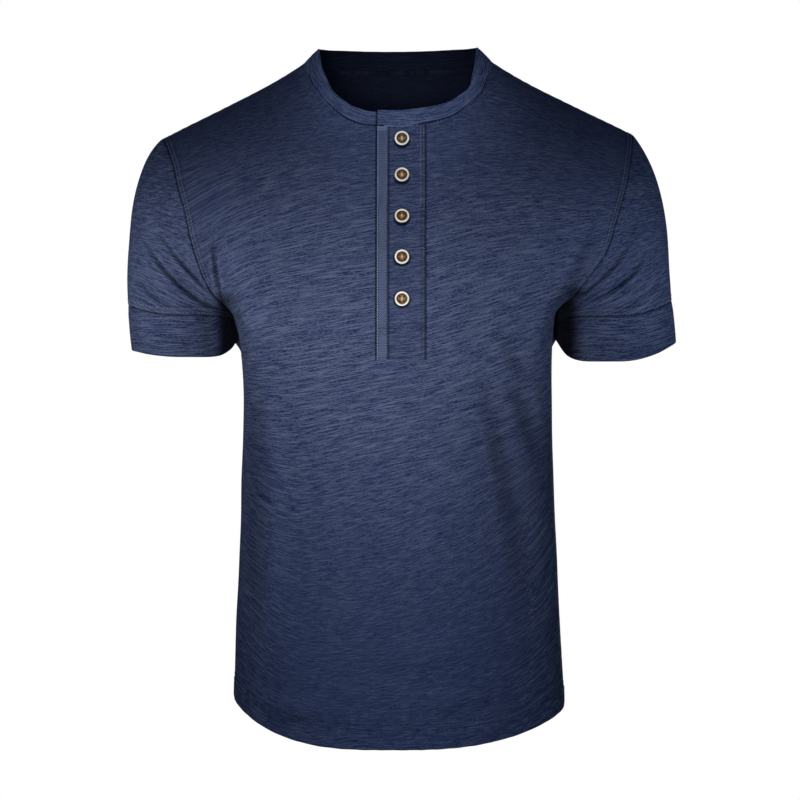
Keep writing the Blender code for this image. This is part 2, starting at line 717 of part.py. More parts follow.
def make_buttons():
    """Five buttons, each standing on the placket and square to it."""
    cutters = bpy.data.collections.new("cutters")
    bpy.context.scene.collection.children.link(cutters)
    for number, height in enumerate(BUTTON_HEIGHTS, start=1):
        across = np.array([[BUTTON_ACROSS - BUTTON_SEAT, BUTTON_ACROSS + BUTTON_SEAT]] * 2)
        heights = np.array([[height - BUTTON_SEAT] * 2, [height + BUTTON_SEAT] * 2])
        patch = body_points(FRONT, ring_angle(across, heights), heights)
        normal = Vector(outward(patch)[0, 0])
        seat = Vector(patch.mean(axis=(0, 1))) + normal * (PLACKET_LIFT + SEAM_GAP)
        turn = normal.to_track_quat("Z", "Y").to_matrix().to_4x4()
        made = place(f"button_{number}", button_mesh(), BUTTON)
        made.matrix_world = Matrix.Translation(seat) @ turn
        holes = bmesh.new()
        for corner in range(4):
            aim = math.pi / 4 + corner * math.pi / 2
            spot = Vector((math.cos(aim), math.sin(aim), 0)) * BUTTON_HOLE_SPREAD
            bmesh.ops.create_cone(
                holes,
                cap_ends=True,
                segments=HOLE_SIDES,
                radius1=BUTTON_HOLE_RADIUS,
                radius2=BUTTON_HOLE_RADIUS,
                depth=HOLE_CUTTER_LENGTH,
                matrix=Matrix.Translation(spot),
            )
        hole_mesh = bpy.data.meshes.new("button_holes")
        holes.to_mesh(hole_mesh)
        holes.free()
        cutter = bpy.data.objects.new(f"button_{number}_holes", hole_mesh)
        cutters.objects.link(cutter)
        cutter.matrix_world = made.matrix_world
        cutter.hide_render = True
        cutter.display_type = "WIRE"
        cut = made.modifiers.new("holes", "BOOLEAN")
        cut.operation = "DIFFERENCE"
        cut.object = cutter


def main():
    for leftover in list(bpy.data.objects):
        bpy.data.objects.remove(leftover)
    garment = bpy.data.collections.new(COLLECTION)
    bpy.context.scene.collection.children.link(garment)
    make_panels()
    make_sleeves()
    sheet("neckband", neckband_grid(NECKBAND_ROWS)[:, ::-1], BAND_WALL, BAND)
    make_placket()
    make_buttons()


main()
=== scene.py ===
"""A short-sleeved henley T-shirt in slub jersey: cloth, sewing, buttons and the stage they are shown on.

Metres, +Z up, the wearer faces -Y and the wearer's left side is at +X.
"""

import functools
import math
from collections import namedtuple

import bmesh
import bpy
import numpy as np
from mathutils import Matrix, Vector


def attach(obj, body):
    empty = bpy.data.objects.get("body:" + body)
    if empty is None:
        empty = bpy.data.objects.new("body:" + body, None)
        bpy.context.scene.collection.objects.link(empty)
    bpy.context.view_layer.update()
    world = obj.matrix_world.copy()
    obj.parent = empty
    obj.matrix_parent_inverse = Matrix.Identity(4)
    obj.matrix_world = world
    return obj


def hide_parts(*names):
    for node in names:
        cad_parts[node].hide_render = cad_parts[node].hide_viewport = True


bl_info = {
    "name": "Henley T-shirt",
    "version": (1, 0, 0),
    "blender": (4, 5, 0),
    "location": "3D View > Sidebar > Henley",
    "description": "Builds a short-sleeved henley T-shirt in slub jersey, with its sewing and buttons",
    "category": "Add Mesh",
}

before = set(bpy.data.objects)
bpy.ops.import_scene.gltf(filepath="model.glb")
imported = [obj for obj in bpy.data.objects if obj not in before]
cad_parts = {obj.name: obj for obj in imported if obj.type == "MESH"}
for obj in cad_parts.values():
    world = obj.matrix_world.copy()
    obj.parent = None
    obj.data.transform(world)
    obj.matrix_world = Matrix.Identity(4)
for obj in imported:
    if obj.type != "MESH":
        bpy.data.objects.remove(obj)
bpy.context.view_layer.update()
BODY_NAME = "root"
PATTERN = "pattern"
LOOK = "look"
COLLECTION = "henley_t_shirt_cloth"

# Yarn and tape: repeats in metres, how the slubs' length grows with their strength, and layers of
# noise, by their pace along and across the courses
KNIT_LOOP = 0.0009
KNIT_COURSE = 0.0007
SLUB_SHORTEST = 0.68
SLUB_GROWTH = 0.57
SLUB_INPUTS = (
    ("Pattern", "NodeSocketVector", None),
    ("Seed", "NodeSocketFloat", 0.0),
    ("Dash", "NodeSocketFloat", 1.0),
    ("Length", "NodeSocketFloat", 1.0),
    ("Deep", "NodeSocketColor", (0.02, 0.03, 0.07, 1)),
    ("Middle", "NodeSocketColor", (0.05, 0.06, 0.12, 1)),
    ("Pale", "NodeSocketColor", (0.1, 0.12, 0.2, 1)),
)
SLUB_OUTPUTS = (("Colour", "NodeSocketColor"), ("Height", "NodeSocketFloat"))
Layer = namedtuple("Layer", "run rise seed detail")
LONG_DASH = Layer(60, 1700, 1.3, 1.0)
SHORT_DASH = Layer(100, 1900, 5.1, 1.0)
FINE_DASH = Layer(450, 1500, 9.7, 0.0)
PATCH = Layer(16, 40, 14.2, 2.0)
DASH_EDGES = (0.47, 0.64)
LENGTH_EDGES = (0.7, 1.35)
TAPE_RIB = 0.0024
TAPE_SLANT = 1.25
TAPE_FLECKS = Layer(900, 900, 3.0, 1.0)
TAPE_WEAR = Layer(70, 45, 8.0, 2.0)

# Between which places the tape's edge and its head go pale, and the paler middle of a button fades
TAPE_EDGE = (0.0016, 0.0009)
TAPE_HEAD = (-0.0762, -0.0748)
CENTRE_FADE = (0.0012, 0.0050)

# How rough the deepest places of a surface are, how much smoother the raised ones, and its relief
Surface = namedtuple("Surface", "rough smoother relief depth specular")
JERSEY = Surface(0.92, 0.10, 0.6, 0.0004, 0.06)
TAPE = Surface(0.9, 0.12, 0.7, 0.0004, 0.1)
THREAD = Surface(0.8, 0.2, 0.4, 0.0002, 0.12)
SHEEN_ROUGHNESS = 0.5
SHEEN_TINT = (0.55, 0.65, 1.0, 1.0)

# Cloth and seams
JERSEY_WALL = 0.0012
PLACKET_WALL = 0.0015
TAPE_WALL = 0.0010
SEAM_GAP = 0.0005
ARMHOLE_GAP = 0.0003
LAYER_GAP = 0.0007

# Which side of the body a panel covers, as the sign of its y
FRONT = -1
BACK = 1

# Which sleeve a piece belongs to, as the sign of its x
RIGHT = -1
LEFT = 1
ARM_NAMES = {RIGHT: "right", LEFT: "left"}

# The points on each edge of a grid. A sleeve's rows go up the right arm and down the left one
EDGE_POINTS = {
    "bottom": (0, slice(None)),
    "top": (-1, slice(None)),
    "right": (slice(None), 0),
    "left": (slice(None), -1),
}
UPPER_EDGE = {RIGHT: "top", LEFT: "bottom"}
LOWER_EDGE = {RIGHT: "bottom", LEFT: "top"}

# Level rings of the body: half widths at the wearer's right and left, depths before and behind,
# and how square each ring is, from 2 for an ellipse upwards
Ring = namedtuple("Ring", "height right left front back squareness")
BODY = (
    Ring(-0.700, 0.1675, 0.1705, 0.113, 0.107, 3.0),
    Ring(-0.632, 0.1670, 0.1690, 0.112, 0.104, 3.1),
    Ring(-0.570, 0.1650, 0.1655, 0.111, 0.099, 3.2),
    Ring(-0.509, 0.1620, 0.1625, 0.111, 0.095, 3.2),
    Ring(-0.447, 0.1595, 0.1597, 0.113, 0.094, 3.2),
    Ring(-0.396, 0.1585, 0.1577, 0.117, 0.097, 3.2),
    Ring(-0.345, 0.1580, 0.1560, 0.121, 0.101, 3.2),
    Ring(-0.293, 0.1610, 0.1570, 0.124, 0.106, 3.3),
    Ring(-0.272, 0.1645, 0.1585, 0.124, 0.108, 3.4),
    Ring(-0.256, 0.1700, 0.1610, 0.123, 0.109, 3.4),
    Ring(-0.235, 0.1980, 0.1940, 0.121, 0.110, 3.0),
    Ring(-0.210, 0.2300, 0.2280, 0.117, 0.110, 2.7),
    Ring(-0.170, 0.2620, 0.2620, 0.108, 0.109, 2.6),
    Ring(-0.120, 0.2800, 0.2800, 0.092, 0.103, 2.6),
    Ring(-0.070, 0.2850, 0.2850, 0.073, 0.090, 2.6),
    Ring(-0.045, 0.2850, 0.2850, 0.064, 0.080, 2.6),
    Ring(-0.020, 0.2850, 0.2850, 0.055, 0.064, 2.6),
    Ring(0.080, 0.2850, 0.2850, 0.040, 0.040, 2.6),
)
UNDERARM_HEIGHT = -0.256

# Top line of the shoulder, the same on both sides
Shoulder = namedtuple("Shoulder", "across height")
SHOULDER = (
    Shoulder(0.0000, 0.0700),
    Shoulder(0.0500, 0.0440),
    Shoulder(0.0957, 0.0020),
    Shoulder(0.1150, -0.0110),
    Shoulder(0.1800, -0.0446),
    Shoulder(0.2395, -0.0740),
    Shoulder(0.3000, -0.1100),
)
SHOULDER_TILT = 0.008
SHOULDER_ROUNDING = 0.075
NECK_POINT = 0.0957
SHOULDER_POINT = 0.2395

# Armhole seams from the shoulder point down to the last point before the underarm
SeamPoint = namedtuple("SeamPoint", "across height")
ARMHOLE = {
    RIGHT: (
        SeamPoint(0.2310, -0.0950),
        SeamPoint(0.2233, -0.1180),
        SeamPoint(0.2154, -0.1470),
        SeamPoint(0.2106, -0.1665),
        SeamPoint(0.2044, -0.1926),
        SeamPoint(0.1962, -0.2175),
        SeamPoint(0.1878, -0.2351),
        SeamPoint(0.1804, -0.2437),
    ),
    LEFT: (
        SeamPoint(0.2370, -0.0900),
        SeamPoint(0.2330, -0.1106),
        SeamPoint(0.2255, -0.1421),
        SeamPoint(0.2171, -0.1695),
        SeamPoint(0.2071, -0.1985),
        SeamPoint(0.1963, -0.2144),
        SeamPoint(0.1867, -0.2261),
        SeamPoint(0.1765, -0.2397),
        SeamPoint(0.1680, -0.2480),
    ),
}

# Neck seams, from the wearer's right to left
NECK_FRONT = (
    SeamPoint(-0.0957, 0.0020),
    SeamPoint(-0.0913, -0.0169),
    SeamPoint(-0.0838, -0.0318),
    SeamPoint(-0.0734, -0.0451),
    SeamPoint(-0.0612, -0.0568),
    SeamPoint(-0.0460, -0.0663),
    SeamPoint(-0.0260, -0.0712),
    SeamPoint(0.0000, -0.0718),
    SeamPoint(0.0270, -0.0690),
    SeamPoint(0.0521, -0.0625),
    SeamPoint(0.0692, -0.0520),
    SeamPoint(0.0836, -0.0390),
    SeamPoint(0.0905, -0.0235),
    SeamPoint(0.0957, 0.0020),
)
NECK_BACK = (
    SeamPoint(-0.0957, 0.0020),
    SeamPoint(-0.0700, 0.0000),
    SeamPoint(0.0000, -0.0010),
    SeamPoint(0.0700, 0.0000),
    SeamPoint(0.0957, 0.0020),
)

# Shirt-tail hem: lowest at the middle, higher at the side seams
Hem = namedtuple("Hem", "rise power")
HEM_HEIGHT = -0.6895
HEM = {RIGHT: Hem(0.0430, 3.3), LEFT: Hem(0.0345, 2.6)}

# Sleeve bands. Each ring is level across its middle, and its rim goes up or down from there
SleeveRing = namedtuple(
    "SleeveRing", "outer inner depth outer_height front_height inner_height back_height"
)
CUFF_SEAM = {
    RIGHT: SleeveRing(0.2764, 0.1692, 0.064, -0.2475, -0.2590, -0.2620, -0.2380),
    LEFT: SleeveRing(0.2805, 0.1614, 0.058, -0.2430, -0.2600, -0.2640, -0.2320),
}
CUFF_EDGE = {
    RIGHT: SleeveRing(0.2730, 0.1648, 0.062, -0.2930, -0.3005, -0.2830, -0.2800),
    LEFT: SleeveRing(0.2850, 0.1605, 0.056, -0.2845, -0.3050, -0.2790, -0.2720),
}
CAP_SLOPE = {RIGHT: math.radians(32), LEFT: math.radians(49)}
CAP_REACH = {RIGHT: 0.62, LEFT: 1.15}
CUFF_REACH = {RIGHT: 1.05, LEFT: 0.70}
CAP_TURN = 0.8
CUFF_CORNER = 7

# Neckband
NECKBAND_WIDTH = 0.0195
NECKBAND_LEAN_SIDE = math.radians(45)
NECKBAND_LEAN_FRONT = math.radians(30)
NECKBAND_LEAN_BACK = math.radians(10)
NECKBAND_TOP_LIFT = 0.0018
NECKBAND_UNDER_TUCK = 0.0018
NECKBAND_BEND = 0.030

# Placket: its edges across the front, and where it ends
PLACKET_RIGHT = -0.0207
PLACKET_LEFT = 0.0273
PLACKET_FOOT = -0.3048
SLOT_RIGHT = -0.0140
SLOT_LEFT = 0.0200
SLOT_FOOT = -0.2920
UNDER_RIGHT = -0.0230
UNDER_LEFT = 0.0235
TAPE_WIDTH = 0.0110
PLACKET_LIFT = LAYER_GAP + PLACKET_WALL
TAPE_LIFT = PLACKET_LIFT + SEAM_GAP + TAPE_WALL
UNDER_LIFT = -JERSEY_WALL - LAYER_GAP

# Buttons
BUTTON_RADIUS = 0.0073
BUTTON_ACROSS = 0.0040
BUTTON_HEIGHTS = (-0.0845, -0.1221, -0.1639, -0.2043, -0.2453)
BUTTON_THICKNESS = 0.0030
BUTTON_RIM = 0.0019
BUTTON_RECESS = 0.0009
BUTTON_STEP = 0.0003
BUTTON_RIM_SHARE = 0.48
BUTTON_RIM_POWER = 0.8
BUTTON_BACK_ROUNDING = 0.0005
BUTTON_FINISH_EDGE = 0.0001
BUTTON_HOLE_RADIUS = 0.0009
BUTTON_HOLE_SPREAD = 0.0027
BUTTON_STEPS = 18
BUTTON_TILTS = (14, 5, -3, 2, 6)
BUTTON_FINISHES = {"rim": 0, "centre": 1, "hole": 2}
BUTTON_THREAD_RADIUS = 0.00024
BUTTON_THREAD_SHIFTS = (0.00118, 0.00156)
BUTTON_THREAD_START = 0.00075
BUTTON_THREAD_RISE = 0.00045
BUTTON_THREAD_SINK = 0.0016
BUTTON_THREAD_ENDS = 0.05
BUTTON_THREAD_BOW = (0.06, 0.88)
BUTTON_THREAD_STEEPNESS = 4.0

# Largest folds, as seen from the front or the back: two ends, and a middle that bows the line
FOLD_END_SHARE = 0.02
FOLD_FACING = 2.5
FOLD_FADE = 0.006
Fold = namedtuple("Fold", "start middle end width rise")
FOLDS = {
    "front": (
        Fold((-0.190, -0.168), (-0.184, -0.200), (-0.178, -0.240), 0.012, -0.006),
        Fold((0.084, -0.325), (0.107, -0.400), (0.118, -0.480), 0.018, -0.006),
        Fold((0.116, -0.322), (0.134, -0.366), (0.144, -0.410), 0.014, -0.005),
        Fold((-0.124, -0.330), (-0.119, -0.450), (-0.121, -0.590), 0.016, 0.004),
    ),
    "back": (
        Fold((-0.085, -0.330), (-0.105, -0.400), (-0.115, -0.480), 0.014, -0.005),
        Fold((0.120, -0.330), (0.122, -0.450), (0.118, -0.560), 0.016, 0.004),
    ),
    "sleeve_right": (
        Fold((-0.232, -0.188), (-0.212, -0.214), (-0.186, -0.238), 0.009, -0.006),
        Fold((-0.246, -0.196), (-0.228, -0.222), (-0.196, -0.244), 0.009, -0.005),
    ),
    "sleeve_left": (
        Fold((0.232, -0.192), (0.205, -0.224), (0.176, -0.243), 0.009, -0.006),
        Fold((0.250, -0.200), (0.225, -0.230), (0.192, -0.246), 0.009, -0.005),
    ),
}

# Smaller creases, as seen from the front or the back, each with a low bank on either side
CREASE_POWER = 0.7
CREASE_BANK = 0.35
CREASE_BANK_PLACE = 2.1
CREASE_BANK_WIDTH = 0.9
CREASES = {
    "front": (
        Fold((-0.184, -0.188), (-0.1815, -0.222), (-0.1755, -0.258), 0.0020, -0.0050),
        Fold((0.196, -0.180), (0.182, -0.206), (0.172, -0.240), 0.0060, -0.0032),
        Fold((-0.176, -0.238), (-0.166, -0.258), (-0.158, -0.290), 0.0080, -0.0030),
        Fold((0.166, -0.240), (0.158, -0.262), (0.150, -0.300), 0.0080, -0.0030),
        Fold((0.102, -0.280), (0.114, -0.304), (0.128, -0.326), 0.0060, -0.0022),
        Fold((0.082, -0.330), (0.104, -0.386), (0.116, -0.466), 0.0070, -0.0024),
        Fold((0.112, -0.326), (0.128, -0.358), (0.140, -0.400), 0.0060, -0.0022),
        Fold((0.110, -0.430), (0.120, -0.490), (0.124, -0.560), 0.0090, -0.0020),
        Fold((-0.146, -0.330), (-0.140, -0.450), (-0.146, -0.600), 0.0110, -0.0022),
        Fold((-0.150, -0.655), (-0.110, -0.668), (-0.068, -0.655), 0.0060, -0.0018),
        Fold((-0.140, -0.635), (-0.100, -0.646), (-0.060, -0.640), 0.0060, 0.0014),
        Fold((0.030, -0.652), (0.060, -0.648), (0.096, -0.636), 0.0070, -0.0016),
        Fold((0.060, -0.672), (0.090, -0.664), (0.120, -0.648), 0.0060, 0.0012),
        Fold((-0.030, -0.600), (0.010, -0.612), (0.060, -0.604), 0.0120, -0.0012),
    ),
    "back": (
        Fold((-0.190, -0.180), (-0.182, -0.212), (-0.176, -0.250), 0.0060, -0.0030),
        Fold((0.192, -0.178), (0.183, -0.208), (0.176, -0.246), 0.0060, -0.0032),
        Fold((-0.160, -0.250), (-0.120, -0.290), (-0.070, -0.310), 0.0090, -0.0024),
        Fold((0.160, -0.252), (0.126, -0.296), (0.080, -0.322), 0.0100, -0.0022),
        Fold((-0.060, -0.420), (-0.090, -0.500), (-0.104, -0.600), 0.0120, -0.0024),
        Fold((0.040, -0.440), (0.066, -0.520), (0.072, -0.620), 0.0120, -0.0022),
        Fold((-0.120, -0.640), (-0.060, -0.654), (0.000, -0.646), 0.0080, -0.0014),
        Fold((0.020, -0.634), (0.070, -0.652), (0.120, -0.640), 0.0080, -0.0014),
        Fold((-0.050, -0.060), (0.000, -0.078), (0.050, -0.060), 0.0120, -0.0014),
    ),
    "sleeve_right": (
        Fold((-0.235, -0.184), (-0.209, -0.2245), (-0.170, -0.250), 0.0019, -0.0046),
        Fold((-0.257, -0.182), (-0.2255, -0.238), (-0.176, -0.255), 0.0020, -0.0044),
        Fold((-0.266, -0.210), (-0.2600, -0.238), (-0.220, -0.255), 0.0025, -0.0030),
        Fold((-0.220, -0.200), (-0.2090, -0.216), (-0.192, -0.236), 0.0018, -0.0012),
        Fold((-0.244, -0.150), (-0.228, -0.174), (-0.214, -0.180), 0.0060, -0.0014),
    ),
    "sleeve_left": (
        Fold((0.233, -0.186), (0.209, -0.2315), (0.167, -0.248), 0.0020, -0.0050),
        Fold((0.250, -0.199), (0.2325, -0.234), (0.175, -0.253), 0.0021, -0.0048),
        Fold((0.268, -0.224), (0.252, -0.244), (0.222, -0.255), 0.0026, -0.0026),
        Fold((0.216, -0.206), (0.2020, -0.226), (0.184, -0.240), 0.0016, -0.0024),
        Fold((0.250, -0.150), (0.240, -0.176), (0.226, -0.190), 0.0060, -0.0014),
    ),
    "sleeve_right_back": (
        Fold((-0.230, -0.186), (-0.212, -0.212), (-0.184, -0.236), 0.0050, -0.0036),
        Fold((-0.254, -0.200), (-0.232, -0.226), (-0.196, -0.240), 0.0050, -0.0026),
    ),
    "sleeve_left_back": (
        Fold((0.232, -0.184), (0.210, -0.210), (0.182, -0.234), 0.0048, -0.0036),
        Fold((0.256, -0.198), (0.232, -0.224), (0.196, -0.240), 0.0052, -0.0028),
    ),
}

# Light lost in creases and under the arms, as shares of the cloth's colour
SHADE_PER_CREASE = 100
SHADE_PER_FOLD = 8
DARKEST_CREASE = 0.2
PALEST_BANK = 1.25
UNDERARM_ACROSS = {RIGHT: (0.1880, 0.1750), LEFT: (0.1900, 0.1735)}
Spot = namedtuple("Spot", "across height wide high share")
UNDERARM_SHADE_SPOT = {
    RIGHT: Spot(0.1740, -0.2450, 0.0100, 0.0060, 0.60),
    LEFT: Spot(0.1775, -0.2380, 0.0140, 0.0080, 0.80),
}
SLEEVE_DEPTH = 0.0100
UNDERARM_SHADE_TOP = -0.237
UNDERARM_SHADE_SLANT = 0.6
UNDERARM_SHADE_FADE = 0.012
UNDERARM_SHADE = 0.93

# Dark lines of painted shade along seams and stitches: distance from the edge, half width, and how dark
SeamLine = namedtuple("SeamLine", "away width share")
ARMHOLE_LINES = (SeamLine(0.0, 0.0008, 0.45), SeamLine(0.0030, 0.0007, 0.25), SeamLine(0.0066, 0.0009, 0.30))
SLEEVE_LINE = SeamLine(0.0, 0.0017, 0.60)
SLEEVE_END_LINES = (SeamLine(0.0, 0.0010, 0.35), SeamLine(0.0082, 0.0012, 0.25))
CUFF_LINE = SeamLine(0.0, 0.0012, 0.35)

# Lines of painted shadow where a layer of the placket ends: place across, half width, and how dark
FRONT_SHADOW_LINES = ((PLACKET_RIGHT - 0.0008, 0.0017, 0.80), (PLACKET_LEFT + 0.0006, 0.0012, 0.55))
PLACKET_SHADOW_LINES = (
    (PLACKET_RIGHT + TAPE_WIDTH + 0.0006, 0.0013, 0.55),
    (PLACKET_LEFT - 0.0030, 0.0009, 0.22),
    (PLACKET_LEFT - 0.0002, 0.0010, 0.50),
)
# Painted shadow round each button on the placket: how dark, how far it drops below the button, and how wide
# it fades
BUTTON_SHADE = 0.90
BUTTON_SHADE_DROP = 0.0004
BUTTON_SHADE_FADE = 0.0018

# The jersey of each piece: its own seed, its shade and its slubs against the body's, and its lines of painted
# shadow
Jersey = namedtuple("Jersey", "seed share dash lines", defaults=(1.0, 1.0, ()))
JERSEYS = {
    "jersey_front": Jersey(3.0, lines=FRONT_SHADOW_LINES),
    "jersey_back": Jersey(17.0),
    # The inside's jersey is darkened by the inside share: painted shade for the shadow inside the shirt
    "jersey_reverse": Jersey(31.0, dash=0.5),
    "jersey_sleeve_right": Jersey(41.0),
    "jersey_sleeve_left": Jersey(57.0),
    "jersey_band": Jersey(71.0, 0.97),
    "jersey_neckband": Jersey(83.0, 1.34, lines=FRONT_SHADOW_LINES[:1]),
    "jersey_placket": Jersey(97.0, 0.97, 0.85, PLACKET_SHADOW_LINES),
}

# How strongly the slubs show at each height of the body, on the sleeves, and on their bands
STRENGTH_HEIGHTS = (
    -0.69, -0.62, -0.58, -0.52, -0.45, -0.40, -0.34, -0.28, -0.22, -0.18, -0.13, -0.08, 0.02,
)
STRENGTHS = (0.72, 0.56, 0.58, 0.68, 0.84, 1.02, 1.38, 1.70, 1.62, 1.32, 0.98, 0.80, 0.80)
SLEEVE_STRENGTH_HEIGHTS = (-0.27, -0.20, -0.12, -0.06)
SLEEVE_STRENGTHS = (1.6, 1.5, 1.15, 0.9)
CUFF_STRENGTH = 1.45
FLANK_ACROSS = 0.112
FLANK_FADE = 0.03
FLANK_TOP = -0.40
FLANK_TOP_FADE = 0.1
FLANK_STRENGTH = 0.7

# Slow unevenness of the cloth, in radians a metre across and up
Ripple = namedtuple("Ripple", "across height turn rise")
RIPPLES = (
    Ripple(31, 9, 0.3, 0.0008),
    Ripple(17, 22, 1.7, 0.0008),
    Ripple(46, 15, 4.1, 0.0005),
    Ripple(11, 41, 2.6, 0.0005),
    Ripple(73, 34, 0.9, 0.00025),
    Ripple(58, 88, 5.2, 0.00022),
)
RIPPLE_DEPTH = 21
RIPPLE_FADE = 0.05
SLEEVE_RIPPLE_FADE = 0.03
SLEEVE_RIPPLE_SHARE = 0.7
EASE_PASSES = 24
SLEEVE_EASE_PASSES = 3
SLEEVE_NORMAL_PASSES = 12
SLEEVE_FADE = 0.014
ARMHOLE_FADE = 0.010

# The front lies flat beside the placket: how wide and how low that reaches, with its fades
CALM_ACROSS = 0.026
CALM_FADE = 0.03
CALM_FOOT = -0.34
CALM_FOOT_FADE = 0.04

# Seams and hems. A wave wanders by so many radians, at a pace along the cloth, so that it isn't regular
PUCKER_LENGTH = 0.0105
PUCKER_WANDER = (1.7, 61)
PUCKER_RISE = 0.00030
PUCKER_REACH = 0.0065
PUCKER_START = 0.004
SEAM_SINK = 0.0003
SINK_WIDTH = 0.0016
SEAM_TURN = 0.0022
SEAM_ALLOWANCE = 0.0045
GATHER_HEIGHT = -0.270
GATHER_DEPTH = 0.045
GATHER_REACH = 0.020
GATHER_RISE = 0.013
GATHER_ACROSS = 0.1
HEM_DEPTH = 0.0215
HEM_RISE = 0.0005
HEM_SINK = 0.0006
HEM_TWIST = 0.0003
HEM_TWIST_ALONG = 0.021
HEM_TWIST_UP = 0.030
HEM_WANDER = (2.2, 23)
HEM_SLOPE = 0.003
HEM_STEP = 0.002
HEM_FOLD = 2 * JERSEY_WALL + 0.0003
HEM_ROWS = 9
FOLD_ANGLES = np.radians((25, 55, 90, 125, 155))
BAND_LAYER = 0.0009
CUFF_FOLD = 0.0021
CUFF_DEPTH = 0.045
CUFF_SWELL = 0.0006
CUFF_TWIST = 0.0003
CUFF_TWIST_LENGTH = 0.027
CUFF_TWIST_SLANT = 60
CUFF_WANDER = (1.5, 40)
CUFF_FADE = 0.008
NECKBAND_FOLD = 0.0021
NECKBAND_SWELL = 0.0007
NECKBAND_TWIST = 0.00022
NECKBAND_TWIST_LENGTH = 0.016
NECKBAND_TWIST_SLANT = 2.4
NECKBAND_WANDER = (1.8, 31)
PLACKET_WAVE = 0.00035
PLACKET_WAVE_PACE = 118
PLACKET_WANDER = (2.0, 37)
PLACKET_LAYER = 0.0013
PLACKET_TURN = 0.0021
UNDER_TURN = 0.0012
TAPE_LAYER = 0.0009
TAPE_TURN = 0.0014
NORMAL_STEP = 0.0015
TURN_SHARES = (0.3, 1.0)

# How the knit's courses climb across a panel, in degrees: up towards the wearer's left is positive
COURSE_ACROSS = (-0.24, -0.165, -0.130, -0.080, 0.000, 0.060, 0.115, 0.160, 0.24)
Courses = namedtuple("Courses", "height slopes")
COURSES = (
    Courses(-0.690, (-30, -30, -20, -2, 5, 8, 18, 26, 26)),
    Courses(-0.570, (-52, -50, -38, 3, 13, 17, 24, 43, 46)),
    Courses(-0.450, (-48, -46, -30, 11, 16, 22, 36, 50, 52)),
    Courses(-0.340, (-20, -12, 0, 10, 11, 17, 22, 36, 40)),
    Courses(-0.240, (34, 28, 14, 9, 10, 18, 18, 24, 34)),
    Courses(-0.160, (34, 27, 18, 13, 11, 13, 8, 6, 20)),
    Courses(-0.080, (22, 18, 14, 11, 8, 9, -2, -10, -16)),
)
SLEEVE_HEIGHTS = (-0.31, -0.27, -0.24, -0.205, -0.17, -0.11, -0.07)
SLEEVE_SLOPES = {
    RIGHT: (-5, -12, -26, -26, -14, -4, 0),
    LEFT: (6, 16, 28, 30, 16, 2, -4),
}
SLEEVE_MIDDLE = 0.22
SHOULDER_SHARE = 0.7
SHOULDER_SHARE_START = -0.16
SHOULDER_SHARE_FADE = 0.11
SHOULDER_SHARE_DEPTH = 0.12
PLACKET_SLOPE = 0.12

# Where each piece's yarn starts along its courses and up across them, so that no two pieces match
SLEEVE_START = 0.9
BAND_START = (2.3, 0.7)

# One stitch: places along it, with its thickness and its height over the cloth against the thread
THREAD_SHAPE = (
    (-0.5, 0.35, -0.9),
    (-0.34, 0.85, 0.1),
    (0.0, 1.0, 0.45),
    (0.34, 0.85, 0.1),
    (0.5, 0.35, -0.9),
)
THREAD_SIDES = 6

# Rows of sewing, by their distance from the seam or edge
ARMHOLE_ROWS = (0.0013, 0.0048)
HEM_ROWS_AWAY = (0.0190, 0.0240)
CUFF_ROWS_AWAY = (0.0018, 0.0062)
BAND_ROWS_AWAY = (0.0024, 0.0150)
NECK_ROW_AWAY = 0.0022
SHOULDER_ROW_AWAY = 0.0030
PLACKET_ROWS_AWAY = (("left", 0.0013), ("left", 0.0046))
TAPE_ROWS_AWAY = (("right", 0.0012), ("left", 0.0012))
ARMHOLE_ROWS_SKIPPED = 20
SIDE_SEAM_DEPTH = 0.0006
CUFF_SEAM_DEPTH = 0.0009
PLACKET_STITCHES = (
    (((-0.0050, -0.2748), (0.0236, -0.2748)), PLACKET_LIFT),
    (((0.0254, -0.2787), (0.0022, -0.2902)), PLACKET_LIFT),
    (((-0.0096, -0.3030), (0.0120, -0.3030)), PLACKET_LIFT),
    (((-0.0198, -0.2740), (-0.0100, -0.2740)), TAPE_LIFT),
    (((-0.0186, -0.2762), (-0.0106, -0.2822)), TAPE_LIFT),
    (((-0.0198, -0.3030), (-0.0100, -0.3030)), TAPE_LIFT),
)
FOOT_DARK_ROWS = 3

# Buttonholes: how far they reach from the button's middle, and the bars of thread along them
BUTTONHOLE_REACH = (-0.008, 0.0102)
BUTTONHOLE_PITCH = 0.00055
BUTTONHOLE_BARS = ((-0.0013, -0.0002), (0.0002, 0.0013))
BUTTONHOLE_LIFT = 0.0001

# Thread and stitches that aren't of the usual thickness or length
HEM_THREAD = {"radius": 0.00032}
SEAM_THREAD = {"radius": 0.00055, "length": 0.004, "reach": 1.5}
PLACKET_THREAD = {"radius": 0.00036, "length": 0.0022}
FOOT_THREAD = {"radius": 0.00042, "length": 0.0015}
BUTTONHOLE_THREAD = {"radius": 0.00022, "length": 0.0011}

# Camera and light
CAMERA_PLACE = (0.00205, -3.0, -0.3446)
CAMERA_LENS = 131.6
WARM = (1.0, 0.99, 0.95)
COOL = (0.82, 0.91, 1.0)

